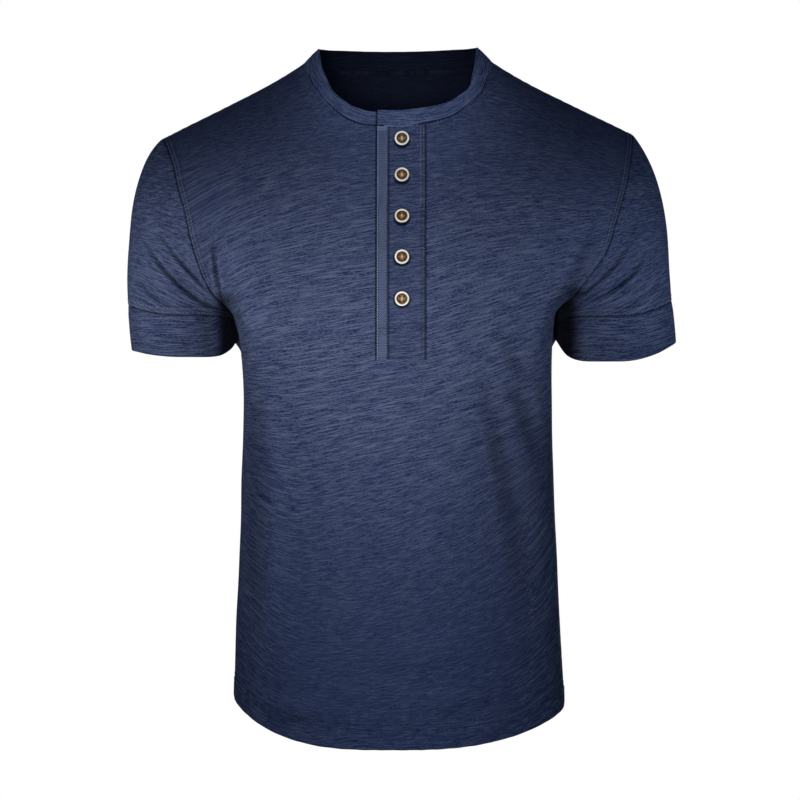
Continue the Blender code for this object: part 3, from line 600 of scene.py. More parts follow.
# Lights before the shirt: where each stands, the spot it lights, its width, its power
# against the setting, how far it spreads in degrees, and its colour
Lamp = namedtuple("Lamp", "name place aim size share spread colour")
LAMPS = (
    Lamp("key_high", (-0.13, -1.30, -0.28), (0.000, 0.0, -0.21), 0.20, 0.82, 27, WARM),
    Lamp("key_low", (-0.13, -1.30, -0.44), (-0.01, 0.0, -0.40), 0.20, 0.74, 27, WARM),
    Lamp("hem_light", (-0.08, -1.40, -0.78), (0.0, -0.06, -0.69), 0.24, 0.52, 25, COOL),
    Lamp("neck_light", (-0.05, -1.20, 0.10), (0.0, -0.07, -0.024), 0.14, 0.14, 12, COOL),
    Lamp("right_sleeve_light", (-1.10, -0.90, -0.30), (-0.222, -0.05, -0.230), 0.14, 0.40, 16, WARM),
    Lamp("left_sleeve_light", (1.10, -0.90, -0.30), (0.222, -0.05, -0.230), 0.14, 0.25, 16, COOL),
    Lamp("right_side_light", (-1.10, -0.60, -0.48), (-0.155, -0.03, -0.48), 0.14, 0.06, 20, COOL),
    Lamp("left_side_light", (1.10, -0.60, -0.48), (0.155, -0.03, -0.48), 0.14, 0.03, 20, COOL),
)

# The same for the lights behind it and at its sides
SHIRT_MIDDLE = (0.0, 0.0, -0.32)
FILLS = (
    Lamp("back_light", (0.3, 1.8, -0.35), SHIRT_MIDDLE, 0.9, 5.0, 120, COOL),
    Lamp("left_light", (2.0, 0.5, 0.1), SHIRT_MIDDLE, 0.9, 0.65, 120, COOL),
    Lamp("right_light", (-2.0, 0.4, 0.1), SHIRT_MIDDLE, 0.9, 0.95, 120, COOL),
)
GLOW = (0.55, 0.72, 1.0, 1)
FLOOR_SIZE = 1.4
FLOOR_GLOW = 0.92

# How finely each sheet is divided
OUTER_COLUMNS = 44
SEAM_CROWDING = 1.5
FRONT_NECK_COLUMNS = 36
SLOT_COLUMNS = 8
BACK_NECK_COLUMNS = 60
FOOT_ROWS = 120
LOWER_ROWS = 10
ARMHOLE_FIRST_ROW = FOOT_ROWS + LOWER_ROWS
UPPER_ROWS = 96
TOP_CROWDING = 1.35
SLEEVE_COLUMNS = 260
SLEEVE_ROWS = 110
CUFF_ROWS = 20
PLACKET_ROWS = 220
STRIP_COLUMNS = 44
TAPE_COLUMNS = 8
NECKBAND_END_COLUMNS = 18
NECKBAND_ROWS = 12
CURVE_SAMPLES = 600
COURSE_SAMPLES = 81
FOLD_SAMPLES = 41
BUTTON_RIM_SAMPLES = 9
BUTTON_THREAD_SAMPLES = 17
BUTTON_THREAD_SIDES = 8
BUTTON_HOLE_SIDES = 20
TUBE_AIM = Vector((0.13, -0.98, 0.11))
STITCH_LINE_SAMPLES = 24


def hermite(share):
    """Weights of a smooth line's start and end, and of its slopes there, at a share of the way."""
    return (
        (1 + 2 * share) * (1 - share) ** 2,
        share**2 * (3 - 2 * share),
        share * (1 - share) ** 2,
        share**2 * (share - 1),
    )


def smooth_curve(knots, values, at):
    """Values at any place on a smooth line through the knots, with no overshoot between them."""
    knots = np.asarray(knots, float)
    values = np.asarray(values, float)
    at = np.clip(np.asarray(at, float), knots[0], knots[-1])
    steps = np.diff(knots)
    slopes = np.diff(values) / steps
    same_way = slopes[:-1] * slopes[1:] > 0
    before = 2 * steps[1:] + steps[:-1]
    after = steps[1:] + 2 * steps[:-1]
    safe = np.where(same_way, slopes[:-1] * slopes[1:], 1.0)
    weighed = np.where(same_way, before * slopes[1:] + after * slopes[:-1], 1.0)
    mean = np.where(same_way, (before + after) * safe / weighed, 0.0)
    tangents = np.concatenate([slopes[:1], mean, slopes[-1:]])
    cell = np.clip(np.searchsorted(knots, at, side="right") - 1, 0, len(steps) - 1)
    start, end, leave, arrive = hermite((at - knots[cell]) / steps[cell])
    return (
        start * values[cell]
        + end * values[cell + 1]
        + leave * steps[cell] * tangents[cell]
        + arrive * steps[cell] * tangents[cell + 1]
    )


def table_value(table, key, column, at):
    """One column of a table, read at any value of its key column."""
    knots = [getattr(row, key) for row in table]
    values = [getattr(row, column) for row in table]
    return smooth_curve(knots, values, at)


def signed_power(base, exponent):
    """A power of the size of a number, with the number's own sign."""
    return np.sign(base) * np.abs(base) ** exponent


def half_width(turn, height):
    """Half width of the body's ring, on the wearer's right where turn is negative."""
    right = table_value(BODY, "height", "right", height)
    left = table_value(BODY, "height", "left", height)
    return np.where(turn < 0, right, left)


def squareness(height):
    return table_value(BODY, "height", "squareness", height)


def shoulder_height(across):
    """Height of the shoulder line, which sits a little higher at the wearer's left."""
    return table_value(SHOULDER, "across", "height", np.abs(across)) + SHOULDER_TILT * across


def body_points(side, angle, height):
    """Points on the body's ring at a height: angle 0 is the wearer's left side seam, pi the right one."""
    turn = np.cos(angle)
    power = 2 / squareness(height)
    across = half_width(turn, height) * signed_power(turn, power)
    depth = table_value(BODY, "height", "front" if side == FRONT else "back", height)
    fall = np.clip((shoulder_height(across) - height) / SHOULDER_ROUNDING, 0, 1)
    rounding = np.sqrt(1 - (1 - fall) ** 2)
    out = depth * np.abs(np.sin(angle)) ** power * rounding
    return np.stack([across, side * (out + SEAM_GAP / 2), height + 0 * across], axis=-1)


def ring_angle(across, height):
    """The angle at which a ring passes a place across the body."""
    share = np.clip(np.abs(across) / half_width(across, height), 0, 1)
    return np.arccos(np.sign(across) * share ** (squareness(height) / 2))


def run_length(grid, axis):
    """Length along the grid's rows or columns, from where they start."""
    steps = np.linalg.norm(np.diff(grid, axis=axis), axis=-1)
    total = np.cumsum(steps, axis=axis)
    start = np.zeros_like(np.take(total, [0], axis=axis))
    return np.concatenate([start, total], axis=axis)


def even_spacing(points, count):
    """The places, counted in samples, that cut a line of points into even lengths."""
    length = run_length(points, 0)
    return np.interp(np.linspace(0, length[-1], count), length, np.arange(len(points)))


def armhole_stations(arm, side, count):
    """Angle and height of evenly spaced points on an armhole, from the underarm to the shoulder."""
    rows = ARMHOLE[arm]
    across = arm * np.array([SHOULDER_POINT] + [row.across for row in rows])
    height = np.array([shoulder_height(arm * SHOULDER_POINT)] + [row.height for row in rows])
    angle = np.append(ring_angle(across, height), 0.0 if arm == LEFT else math.pi)
    height = np.append(height, UNDERARM_HEIGHT)
    knots = np.arange(len(height), dtype=float)
    fine = np.linspace(0, knots[-1], CURVE_SAMPLES)
    fine_angle = smooth_curve(knots, angle, fine)
    fine_height = smooth_curve(knots, height, fine)
    places = even_spacing(body_points(side, fine_angle, fine_height), count)[::-1]
    samples = np.arange(CURVE_SAMPLES)
    return np.interp(places, samples, fine_angle), np.interp(places, samples, fine_height)


def neck_seam(side, across):
    """Height of a neck seam, which meets the shoulder line at both neck points."""
    height = table_value(NECK_FRONT if side == FRONT else NECK_BACK, "across", "height", across)
    return height + SHOULDER_TILT * across


def neck_line(side, across):
    height = neck_seam(side, across)
    return body_points(side, ring_angle(across, height), height)


def neck_places(side, start, end, count):
    """Places across the body that cut a stretch of the neck seam into even lengths."""
    across = np.linspace(start, end, CURVE_SAMPLES)
    places = even_spacing(neck_line(side, across), count + 1)
    return np.interp(places, np.arange(CURVE_SAMPLES), across)


def lower_shares():
    """Shares of the way from hem to underarm level, with a row at the slot's foot."""
    slot = (SLOT_FOOT - HEM_HEIGHT) / (UNDERARM_HEIGHT - HEM_HEIGHT)
    foot = np.linspace(0, slot, FOOT_ROWS + 1)
    return np.append(foot, np.linspace(slot, 1, LOWER_ROWS + 1)[1:])


def upper_shares():
    """Shares of the way from underarm level to the top seams, close together at both ends."""
    left_to_go = (1 + np.cos(np.linspace(0, math.pi, UPPER_ROWS + 1)[1:])) / 2
    return 1 - left_to_go**TOP_CROWDING


def hem_height(turn):
    """Height of the hem where a ring's angle has this cosine."""
    across = np.abs(turn) ** (2 / squareness(HEM_HEIGHT))
    rise = [HEM[arm].rise * across ** HEM[arm].power for arm in (RIGHT, LEFT)]
    return HEM_HEIGHT + np.where(turn < 0, *rise)


def centre_columns(side, top, bottom=None):
    """Stations of the columns that end at the neck seam, given their places across at both ends."""
    top = np.asarray(top, float)
    bottom = top if bottom is None else np.asarray(bottom, float)
    hem = hem_height(np.cos(ring_angle(bottom, HEM_HEIGHT)))
    low = hem + lower_shares()[:, None] * (UNDERARM_HEIGHT - hem)
    rise = upper_shares()[:, None]
    high = UNDERARM_HEIGHT + rise * (neck_seam(side, top) - UNDERARM_HEIGHT)
    height = np.concatenate([low, high])
    across = np.concatenate([bottom + 0 * low, bottom + rise**2 * (top - bottom)])
    return ring_angle(across, height), height


def filled_patch(shares, rise, edge, inner, bottom, top):
    """Values inside four edges, blended from all of them. The inner edge starts on the bottom row."""
    between_sides = (1 - shares) * edge + shares * inner[1:]
    between_ends = (1 - rise) * bottom + rise * top
    start = bottom[0] + shares * (inner[0] - bottom[0])
    end = top[0] + shares * (inner[-1] - top[0])
    return between_sides + between_ends - (1 - rise) * start - rise * end


def outer_columns(side, arm):
    """Stations of the columns between the neck point and the side seam or armhole, seam first."""
    inner_angle, inner_height = centre_columns(side, [arm * NECK_POINT])
    seam_angle = 0.0 if arm == LEFT else math.pi
    shares = np.linspace(0, 1, OUTER_COLUMNS + 1)[:-1] ** SEAM_CROWDING
    low_count = len(lower_shares())

    low_angle = seam_angle + shares * (inner_angle[:low_count] - seam_angle)
    hem = hem_height(np.cos(low_angle))
    low_height = hem + lower_shares()[:, None] * (UNDERARM_HEIGHT - hem)

    rise = upper_shares()[:, None]
    edge_angle, edge_height = armhole_stations(arm, side, UPPER_ROWS + 1)
    edge_angle = edge_angle[1:, None]
    edge_height = edge_height[1:, None]
    top_across = arm * (SHOULDER_POINT + shares * (NECK_POINT - SHOULDER_POINT))
    top_height = shoulder_height(top_across)
    top_angle = ring_angle(top_across, top_height)
    inner_angle = inner_angle[low_count - 1 :]
    inner_height = inner_height[low_count - 1 :]
    high_angle = filled_patch(shares, rise, edge_angle, inner_angle, low_angle[-1], top_angle)
    high_height = filled_patch(shares, rise, edge_height, inner_height, low_height[-1], top_height)
    return np.concatenate([low_angle, high_angle]), np.concatenate([low_height, high_height])


def outward(grid, closed=False):
    """Unit normals of a grid of points, rows going up and columns to the wearer's left at the front."""
    along = np.gradient(grid, axis=0)
    if closed:
        across = (np.roll(grid, -1, axis=1) - np.roll(grid, 1, axis=1)) / 2
    else:
        across = np.gradient(grid, axis=1)
    normal = np.cross(across, along)
    return normal / np.maximum(np.linalg.norm(normal, axis=-1, keepdims=True), 1e-12)


def facing_share(normal, side):
    """1 where the cloth faces the front or the back, as that side says, falling to 0 where it turns away."""
    return np.clip(side * normal[..., 1] * FOLD_FACING, 0, 1)


def near_fold(fold, points):
    """How near each point is to the middle of a fold's line, from 0 to 1, and how many widths away."""
    start, middle, end = (np.array(place) for place in (fold.start, fold.middle, fold.end))
    share = np.linspace(0, 1, FOLD_SAMPLES)[:, None]
    line = (1 - share) ** 2 * start + share**2 * end + 2 * share * (1 - share) * middle
    distance = np.linalg.norm(points[..., None, [0, 2]] - line, axis=-1)
    nearest = np.argmin(distance, axis=-1)
    along = np.clip(share[nearest, 0], FOLD_END_SHARE, 1 - FOLD_END_SHARE)
    return np.sin(math.pi * along), distance.min(axis=-1) / fold.width


def fold_rise(fold, points):
    """How far one fold lifts each point: a soft ridge or trough that fades out at both ends."""
    strength, reach = near_fold(fold, points)
    return fold.rise * np.sqrt(strength) * np.exp(-(reach**2))


def crease_rise(crease, points):
    """How far one crease lifts each point: a trough or ridge with a low bank on either side."""
    strength, reach = near_fold(crease, points)
    bank = CREASE_BANK * np.exp(-(((reach - CREASE_BANK_PLACE) / CREASE_BANK_WIDTH) ** 2))
    return crease.rise * strength**CREASE_POWER * (np.exp(-(reach**2)) - bank)


def raised(grid, rise_of, folds, side):
    """The grid with its folds or creases raised, on the part of it that faces that side."""
    normal = outward(grid)
    rise = sum(rise_of(fold, grid) for fold in folds)
    return grid + normal * (rise * facing_share(normal, side))[..., None]


def panel_grid(side, top, bottom):
    """Points of the front or back panel, hem first, and the wearer's right to left."""
    right_angle, right_height = outer_columns(side, RIGHT)
    centre_angle, centre_height = centre_columns(side, top, bottom)
    left_angle, left_height = outer_columns(side, LEFT)
    angle = np.concatenate([right_angle, centre_angle, left_angle[:, ::-1]], axis=1)
    height = np.concatenate([right_height, centre_height, left_height[:, ::-1]], axis=1)
    return body_points(side, angle, height)


def armhole_loop(arm, count):
    """Closed armhole seam for the sleeve: shoulder, front, underarm, back."""
    half = count // 2
    front = body_points(FRONT, *armhole_stations(arm, FRONT, half + 1))[::-1]
    back = body_points(BACK, *armhole_stations(arm, BACK, half + 1))
    loop = np.concatenate([front[:-1], back[:-1]])
    loop[0, 1] = 0
    loop[half, 1] = 0
    loop[:, 0] += arm * ARMHOLE_GAP
    return loop


def sleeve_ring(ring, arm, count):
    """Closed ring round the arm: outer side, front, inner side, back."""
    turn = np.linspace(0, 2 * math.pi, count, endpoint=False)
    centre = (ring.outer + ring.inner) / 2
    reach = (ring.outer - ring.inner) / 2
    across = arm * (centre + reach * np.cos(turn))
    depth = -ring.depth * np.sin(turn)
    near_side = np.where(np.cos(turn) > 0, ring.outer_height, ring.inner_height)
    near_face = np.where(np.sin(turn) > 0, ring.front_height, ring.back_height)
    inner_front = (np.cos(turn) < 0) & (np.sin(turn) > 0)
    sideways = np.abs(np.cos(turn)) ** np.where(inner_front, CUFF_CORNER, 2)
    height = near_face + (near_side - near_face) * sideways
    return np.stack([across, depth, height], axis=-1)


def sleeve_grid(arm, rows, columns):
    """Points of a sleeve, from the armhole seam down to the seam of its band."""
    top = armhole_loop(arm, columns)
    seam = sleeve_ring(CUFF_SEAM[arm], arm, columns)
    edge = sleeve_ring(CUFF_EDGE[arm], arm, columns)
    length = np.linalg.norm(seam - top, axis=1, keepdims=True)
    under = (1 - np.cos(np.linspace(0, 2 * math.pi, columns, endpoint=False))) / 2
    slope = CAP_SLOPE[arm] + (math.pi / 2 - CAP_SLOPE[arm]) * under**CAP_TURN
    out = np.stack([arm * np.cos(slope), 0 * slope, -np.sin(slope)], axis=-1)
    down = edge - seam
    down = down / np.linalg.norm(down, axis=1, keepdims=True)
    start, end, leave, arrive = hermite(np.linspace(0, 1, rows + 1)[:, None, None])
    return (
        start * top
        + end * seam
        + leave * (out * length * CAP_REACH[arm])
        + arrive * (down * length * CUFF_REACH[arm])
    )


def cuff_grid(arm, rows, columns):
    """Points of a sleeve band, from just below its seam to its lower edge."""
    seam = sleeve_ring(CUFF_SEAM[arm], arm, columns)
    edge = sleeve_ring(CUFF_EDGE[arm], arm, columns)
    down = (edge - seam) / np.linalg.norm(edge - seam, axis=1, keepdims=True)
    share = np.linspace(0, 1, rows + 1)[:, None, None]
    return (seam + down * SEAM_GAP) * (1 - share) + edge * share


def front_neck_places():
    """Columns of the front panel, from neck point to neck point, with two at the edges of the slot."""
    right = neck_places(FRONT, -NECK_POINT, SLOT_RIGHT, FRONT_NECK_COLUMNS)
    left = neck_places(FRONT, SLOT_LEFT, NECK_POINT, FRONT_NECK_COLUMNS)
    return right, left


def back_neck_places():
    return neck_places(BACK, -NECK_POINT, NECK_POINT, BACK_NECK_COLUMNS)


def neckband_seam():
    """Neck seam from under the placket, round the wearer's right and back, to the placket's free edge."""
    right, left = front_neck_places()
    under = np.linspace(UNDER_LEFT, SLOT_RIGHT, NECKBAND_END_COLUMNS + 1)[:-1]
    over = np.linspace(SLOT_LEFT, PLACKET_RIGHT, NECKBAND_END_COLUMNS + 1)[1:]
    return np.concatenate(
        [
            neck_line(FRONT, np.concatenate([under, right[::-1]])),
            neck_line(BACK, back_neck_places()[1:-1]),
            neck_line(FRONT, np.concatenate([left[::-1], over])),
        ]
    )


def neckband_grid(rows):
    """Points of the neckband, from its seam up to its fold."""
    seam = neckband_seam()
    run = np.gradient(seam, axis=0)
    out = np.stack([run[:, 1], -run[:, 0], 0 * run[:, 0]], axis=-1)
    out = -out / np.linalg.norm(out, axis=1, keepdims=True)
    lean_face = np.where(out[:, 1] < 0, NECKBAND_LEAN_FRONT, NECKBAND_LEAN_BACK)
    lean = NECKBAND_LEAN_SIDE * out[:, 0] ** 2 + lean_face * out[:, 1] ** 2
    up = np.array([0.0, 0.0, 1.0])
    rise = -out * np.sin(lean)[:, None] + up * np.cos(lean)[:, None]
    face = out * np.cos(lean)[:, None] + up * np.sin(lean)[:, None]
    length = run_length(seam, 0)
    overlap = UNDER_LEFT - PLACKET_RIGHT
    tuck = np.clip(1 - (length - overlap) / NECKBAND_BEND, 0, 1)
    lift = np.clip(1 - (length[-1] - overlap - length) / NECKBAND_BEND, 0, 1)
    shift = NECKBAND_TOP_LIFT * lift - NECKBAND_UNDER_TUCK * tuck
    seam = seam + face * shift[:, None]
    share = np.linspace(0, 1, rows + 1)[:, None, None]
    return seam + rise * (SEAM_GAP + (NECKBAND_WIDTH - SEAM_GAP) * share)


def strip_grid(right_edge, left_edge, columns):
    """Front points between two places across, from the placket's foot up to just under the neck seam."""
    across = np.linspace(right_edge, left_edge, columns + 1)
    share = np.linspace(0, 1, PLACKET_ROWS + 1)[:, None]
    height = PLACKET_FOOT + share * (neck_seam(FRONT, across) - SEAM_GAP - PLACKET_FOOT)
    return body_points(FRONT, ring_angle(across + 0 * height, height), height)


def eased(share):
    """A share from 0 to 1 made gentle at both ends."""
    share = np.clip(share, 0, 1)
    return share * share * (3 - 2 * share)


def relaxed(grid, passes, closed=False):
    """The grid with its tables' knots eased out and its own edges held."""
    for _ in range(passes):
        mean = grid.copy()
        mean[1:-1] = (grid[:-2] + 2 * grid[1:-1] + grid[2:]) / 4
        if closed:
            mean = (np.roll(mean, 1, axis=1) + 2 * mean + np.roll(mean, -1, axis=1)) / 4
        else:
            mean[:, 1:-1] = (mean[:, :-2] + 2 * mean[:, 1:-1] + mean[:, 2:]) / 4
            mean[:, 0] = grid[:, 0]
            mean[:, -1] = grid[:, -1]
        mean[0] = grid[0]
        mean[-1] = grid[-1]
        grid = mean
    return grid


def distance_in(grid, edge):
    """Distance of each point from one edge of the grid, measured over the cloth."""
    if edge in ("bottom", "top"):
        length = run_length(grid, 0)
        return length if edge == "bottom" else length[-1:] - length
    length = run_length(grid, 1)
    return length if edge == "right" else length[:, -1:] - length


def edge_fade(grid, reach, closed=False):
    """0 at the grid's edges, growing to 1 within that reach."""
    near = np.minimum(distance_in(grid, "bottom"), distance_in(grid, "top"))
    if not closed:
        sides = np.minimum(distance_in(grid, "right"), distance_in(grid, "left"))
        near = np.minimum(near, sides)
    return eased(near / reach)


def ripple_rise(points, turn):
    """A slow unevenness of hanging cloth, always the same."""
    rise = 0
    for ripple in RIPPLES:
        place = points[..., 0] * ripple.across + points[..., 2] * ripple.height
        rise = rise + ripple.rise * np.sin(place + points[..., 1] * RIPPLE_DEPTH + ripple.turn + turn)
    return rise


def uneven_wave(phase, along, wander):
    """A wave whose phase wanders back and forth along the cloth."""
    turn, pace = wander
    return np.sin(phase + turn * np.sin(along * pace))


def seam_pucker(grid, edge):
    """The small gathers that sewing leaves beside a seam."""
    away = distance_in(grid, edge)
    border = grid[EDGE_POINTS[edge]]
    if edge in ("bottom", "top"):
        along = run_length(border[None], 1)
    else:
        along = run_length(border[:, None], 0)
    wave = uneven_wave(along * 2 * math.pi / PUCKER_LENGTH, along, PUCKER_WANDER)
    sink = -SEAM_SINK * np.exp(-((away / SINK_WIDTH) ** 2))
    return PUCKER_RISE * wave * np.exp(-away / PUCKER_REACH) * eased(away / PUCKER_START) + sink


def hem_relief(grid, depth):
    """The turned hem: a low flat band with a sunk line where it is sewn, and a slight twist."""
    away = distance_in(grid, "bottom")
    along = run_length(grid, 1)
    band = HEM_RISE * eased(away / HEM_SLOPE) * (1 - eased((away - depth + HEM_STEP) / HEM_SLOPE))
    sunk = -HEM_SINK * np.exp(-(((away - depth) / SINK_WIDTH) ** 2))
    phase = 2 * math.pi * (along / HEM_TWIST_ALONG + away / HEM_TWIST_UP)
    twist = uneven_wave(phase, along, HEM_WANDER)
    inside = eased(away / PUCKER_START) * (1 - eased((away - depth) / HEM_SLOPE))
    return band + sunk + HEM_TWIST * twist * inside


def course_rise(across, height):
    """How far the knit's courses have climbed at each place across, from the middle outwards."""
    fine = np.linspace(COURSE_ACROSS[0], COURSE_ACROSS[-1], COURSE_SAMPLES)
    rises = []
    for row in COURSES:
        slope = np.tan(np.radians(smooth_curve(COURSE_ACROSS, row.slopes, fine)))
        total = np.cumsum(np.append(0, (slope[1:] + slope[:-1]) / 2 * np.diff(fine)))
        rises.append(np.interp(across, fine, total - np.interp(0, fine, total)))
    rises = np.stack(rises)
    place = np.interp(height, [row.height for row in COURSES], np.arange(len(COURSES)))
    low = np.minimum(place.astype(int), len(COURSES) - 2)
    share = eased(place - low)
    lower = np.take_along_axis(rises, low[None], axis=0)[0]
    upper = np.take_along_axis(rises, low[None] + 1, axis=0)[0]
    return lower * (1 - share) + upper * share


def panel_pattern(grid):
    """Places of a panel's points in its cloth: along the courses, and up across them."""
    middle = grid.shape[1] // 2
    along = run_length(grid, 1)
    along = along - along[:, middle : middle + 1]
    high = eased((grid[..., 2] - SHOULDER_SHARE_START) / SHOULDER_SHARE_FADE)
    back = SHOULDER_SHARE * high * (SHOULDER_SHARE_DEPTH - np.abs(grid[..., 1]))
    up = grid[..., 2] + back - course_rise(grid[..., 0], grid[..., 2])
    return np.stack([along, up], axis=-1)


def closed_up(grid):
    """A closed grid with its first column again at the end."""
    return np.concatenate([grid, grid[:, :1]], axis=1)


def sleeve_pattern(grid, arm):
    """The same for a sleeve, whose grid starts and ends at the underarm seam."""
    ring = closed_up(grid)
    slope = smooth_curve(SLEEVE_HEIGHTS, SLEEVE_SLOPES[arm], ring[..., 2])
    up = ring[..., 2] - np.tan(np.radians(slope)) * (ring[..., 0] - arm * SLEEVE_MIDDLE)
    return np.stack([run_length(ring, 1) + SLEEVE_START * arm, up], axis=-1)


def band_pattern(grid, closed=False):
    """The same for a band cut along the courses."""
    if closed:
        grid = closed_up(grid)
    along = run_length(grid, 1).mean(axis=0) + np.zeros(grid.shape[:2])
    return np.stack([along + BAND_START[0], run_length(grid, 0) + BAND_START[1]], axis=-1)


def folded_over(grid, thickness, rows, closed=False, face=1):
    """The grid carried on past its last row, round a fold and back up inside by that many rows."""
    normal = outward(grid, closed) * face
    ahead = grid[-1] - grid[-2]
    ahead = ahead / np.linalg.norm(ahead, axis=-1, keepdims=True)
    radius = thickness / 2
    fold = [
        grid[-1] + ahead * radius * math.sin(angle) - normal[-1] * radius * (1 - math.cos(angle))
        for angle in FOLD_ANGLES
    ]
    inside = grid[::-1][:rows] - normal[::-1][:rows] * thickness
    return np.concatenate([grid, np.stack(fold), inside])


def cells(rows, columns, closed):
    """Corners of each cell of a grid, anticlockwise as seen from outside."""
    wide = columns if closed else columns - 1
    row, column = np.meshgrid(np.arange(rows - 1), np.arange(wide), indexing="ij")
    after = (column + 1) % columns
    corners = (row * columns + column, row * columns + after)
    return np.stack([*corners, corners[1] + columns, corners[0] + columns], axis=-1)


def cloth(
    name, grid, pattern, wall, materials, closed=False, left_out=None, turned=(), inside=(0, 0), look=None,
):
    """A piece of cloth whose outer face is the grid, with some of its edges turned in at the seams.

    Each turned edge gives its name, its depth and, where it doesn't turn straight in, its own rings.
    Rows from inside[0] up to inside[1] face the wearer and take the second material, a darker inside
    that is painted shade, as do the inner wall and rims where there is a second material. The look
    gives each point its painted shade, as a share of the cloth's colour, and how strongly its slubs show.
    """
    rows, columns = grid.shape[:2]
    normal = outward(grid, closed)
    index = np.arange(rows * columns).reshape(rows, columns)
    faces = cells(rows, columns, closed)
    kept = np.ones(faces.shape[:2], bool) if left_out is None else ~left_out
    row, column = np.meshgrid(np.arange(rows - 1), np.arange(faces.shape[1]), indexing="ij")
    up = np.stack([row, row, row + 1, row + 1], axis=-1)[kept]
    along = np.stack([column, column + 1, column + 1, column], axis=-1)[kept]
    if look is None:
        look = np.ones((rows, columns, 2))
    looks = [look.reshape(-1, 2)]
    points = [grid.reshape(-1, 3)]
    all_faces = [faces[kept]]
    loops = [pattern[up, along]]
    count = rows * columns
    for edge, depth, *given in turned:
        pick = EDGE_POINTS[edge]
        rings = given[0] if given else [grid[pick] - normal[pick] * depth * share for share in TURN_SHARES]
        places = pattern[:, :columns][pick]
        before = index[pick]
        for ring in rings:
            points.append(ring)
            looks.append(look[pick])
            now = count + np.arange(len(ring))
            count += len(ring)
            here = np.arange(len(ring) if closed else len(ring) - 1)
            there = (here + 1) % len(ring)
            if edge in ("bottom", "left"):
                here, there = there, here
            quad = np.stack([before[here], before[there], now[there], now[here]], axis=-1)
            uv = np.stack([places[here], places[there], places[there], places[here]], axis=1)
            all_faces.append(quad[kept[pick]])
            loops.append(uv[kept[pick]])
            before = now
    points = np.concatenate(points)
    faces = np.concatenate(all_faces)
    used = np.zeros(len(points), bool)
    used[faces.reshape(-1)] = True
    renumber = np.cumsum(used) - 1
    mesh = bpy.data.meshes.new(name)
    mesh.from_pydata(points[used], [], renumber[faces].tolist())
    layer = mesh.uv_layers.new(name=PATTERN)
    layer.data.foreach_set("uv", np.concatenate(loops).astype(np.float32).reshape(-1))
    # Rows that face the wearer take the second material, the painted shade of the shirt's inside
    finish = np.zeros(len(faces), np.int32)
    finish[: kept.sum()] = (row[kept] >= inside[0]) & (row[kept] < inside[1])
    mesh.polygons.foreach_set("material_index", finish)
    add_look(mesh, np.concatenate(looks)[used])
    mesh.shade_smooth()
    made = new_piece(name, mesh, materials)
    solidify = made.modifiers.new("wall", "SOLIDIFY")
    solidify.thickness = wall
    solidify.offset = -1
    solidify.use_rim = True
    # Its inner wall and rims take the second material too: painted shade of the shirt's inside
    if len(materials) > 1:
        solidify.material_offset = 1
        solidify.material_offset_rim = 1
    return made


def line_shade(away, line):
    """A thin line of painted shade over the cloth, for distances from the edge that the line is told from."""
    return line.share * np.exp(-(((away - line.away) / line.width) ** 2))


def underarm_shade(grid, arm):
    """The cloth under the arm turns in towards the body and gets little light."""
    start, end = UNDERARM_ACROSS[arm]
    inner = eased((start - np.abs(grid[..., 0])) / (start - end))
    slant = UNDERARM_SHADE_SLANT * (end - np.abs(grid[..., 0]))
    low = eased((UNDERARM_SHADE_TOP - grid[..., 2] + slant) / UNDERARM_SHADE_FADE)
    return (1 - UNDERARM_SHADE * inner * low) * underarm_shade_spot(grid, arm)


def underarm_shade_spot(grid, arm):
    """Painted shade at the deep point under the arm where the creases of sleeve and body meet."""
    spot = UNDERARM_SHADE_SPOT[arm]
    across = (np.abs(grid[..., 0]) - spot.across) / spot.wide
    height = (grid[..., 2] - spot.height) / spot.high
    return 1 - spot.share * np.exp(-(across**2 + height**2)) * (grid[..., 0] * arm > 0)


def fold_shade(grid, name, side, closed=False):
    """The bottom of a crease gets less light than the cloth beside it, and its banks a little more."""
    rise = sum(crease_rise(crease, grid) for crease in CREASES.get(name, ())) * SHADE_PER_CREASE
    rise = rise + sum(fold_rise(fold, grid) for fold in FOLDS.get(name, ())) * SHADE_PER_FOLD
    return np.clip(1 + facing_share(outward(grid, closed), side) * rise, DARKEST_CREASE, PALEST_BANK)


def panel_look(grid, side):
    """Painted shade and slub strength of a panel: shade from its creases, its seams and under the arms,
    strength from its height.
    """
    shade = fold_shade(grid, "front" if side == FRONT else "back", side)
    shade = shade * underarm_shade_spot(grid, RIGHT) * underarm_shade_spot(grid, LEFT)
    high = eased((grid[..., 2] - UNDERARM_HEIGHT) / 0.01)
    for edge in ("right", "left"):
        away = distance_in(grid, edge)
        shade = shade * (1 - sum(line_shade(away, line) for line in ARMHOLE_LINES) * high)
    strength = smooth_curve(STRENGTH_HEIGHTS, STRENGTHS, grid[..., 2])
    flank = eased((np.abs(grid[..., 0]) - FLANK_ACROSS) / FLANK_FADE)
    flank = flank * eased((FLANK_TOP - grid[..., 2]) / FLANK_TOP_FADE)
    return np.stack([shade, strength * (1 + FLANK_STRENGTH * flank)], axis=-1)


def sleeve_look(grid, arm):
    """Painted shade and slub strength of a sleeve: shade from its creases, its seams and under the arm."""
    name = f"sleeve_{ARM_NAMES[arm]}"
    shade = fold_shade(grid, name, FRONT, True) * fold_shade(grid, name + "_back", BACK, True)
    shade = shade * (1 - line_shade(distance_in(grid, UPPER_EDGE[arm]), SLEEVE_LINE))
    for line in SLEEVE_END_LINES:
        shade = shade * (1 - line_shade(distance_in(grid, LOWER_EDGE[arm]), line))
    strength = smooth_curve(SLEEVE_STRENGTH_HEIGHTS, SLEEVE_STRENGTHS, grid[..., 2])
    return np.stack([shade * underarm_shade(grid, arm), strength], axis=-1)


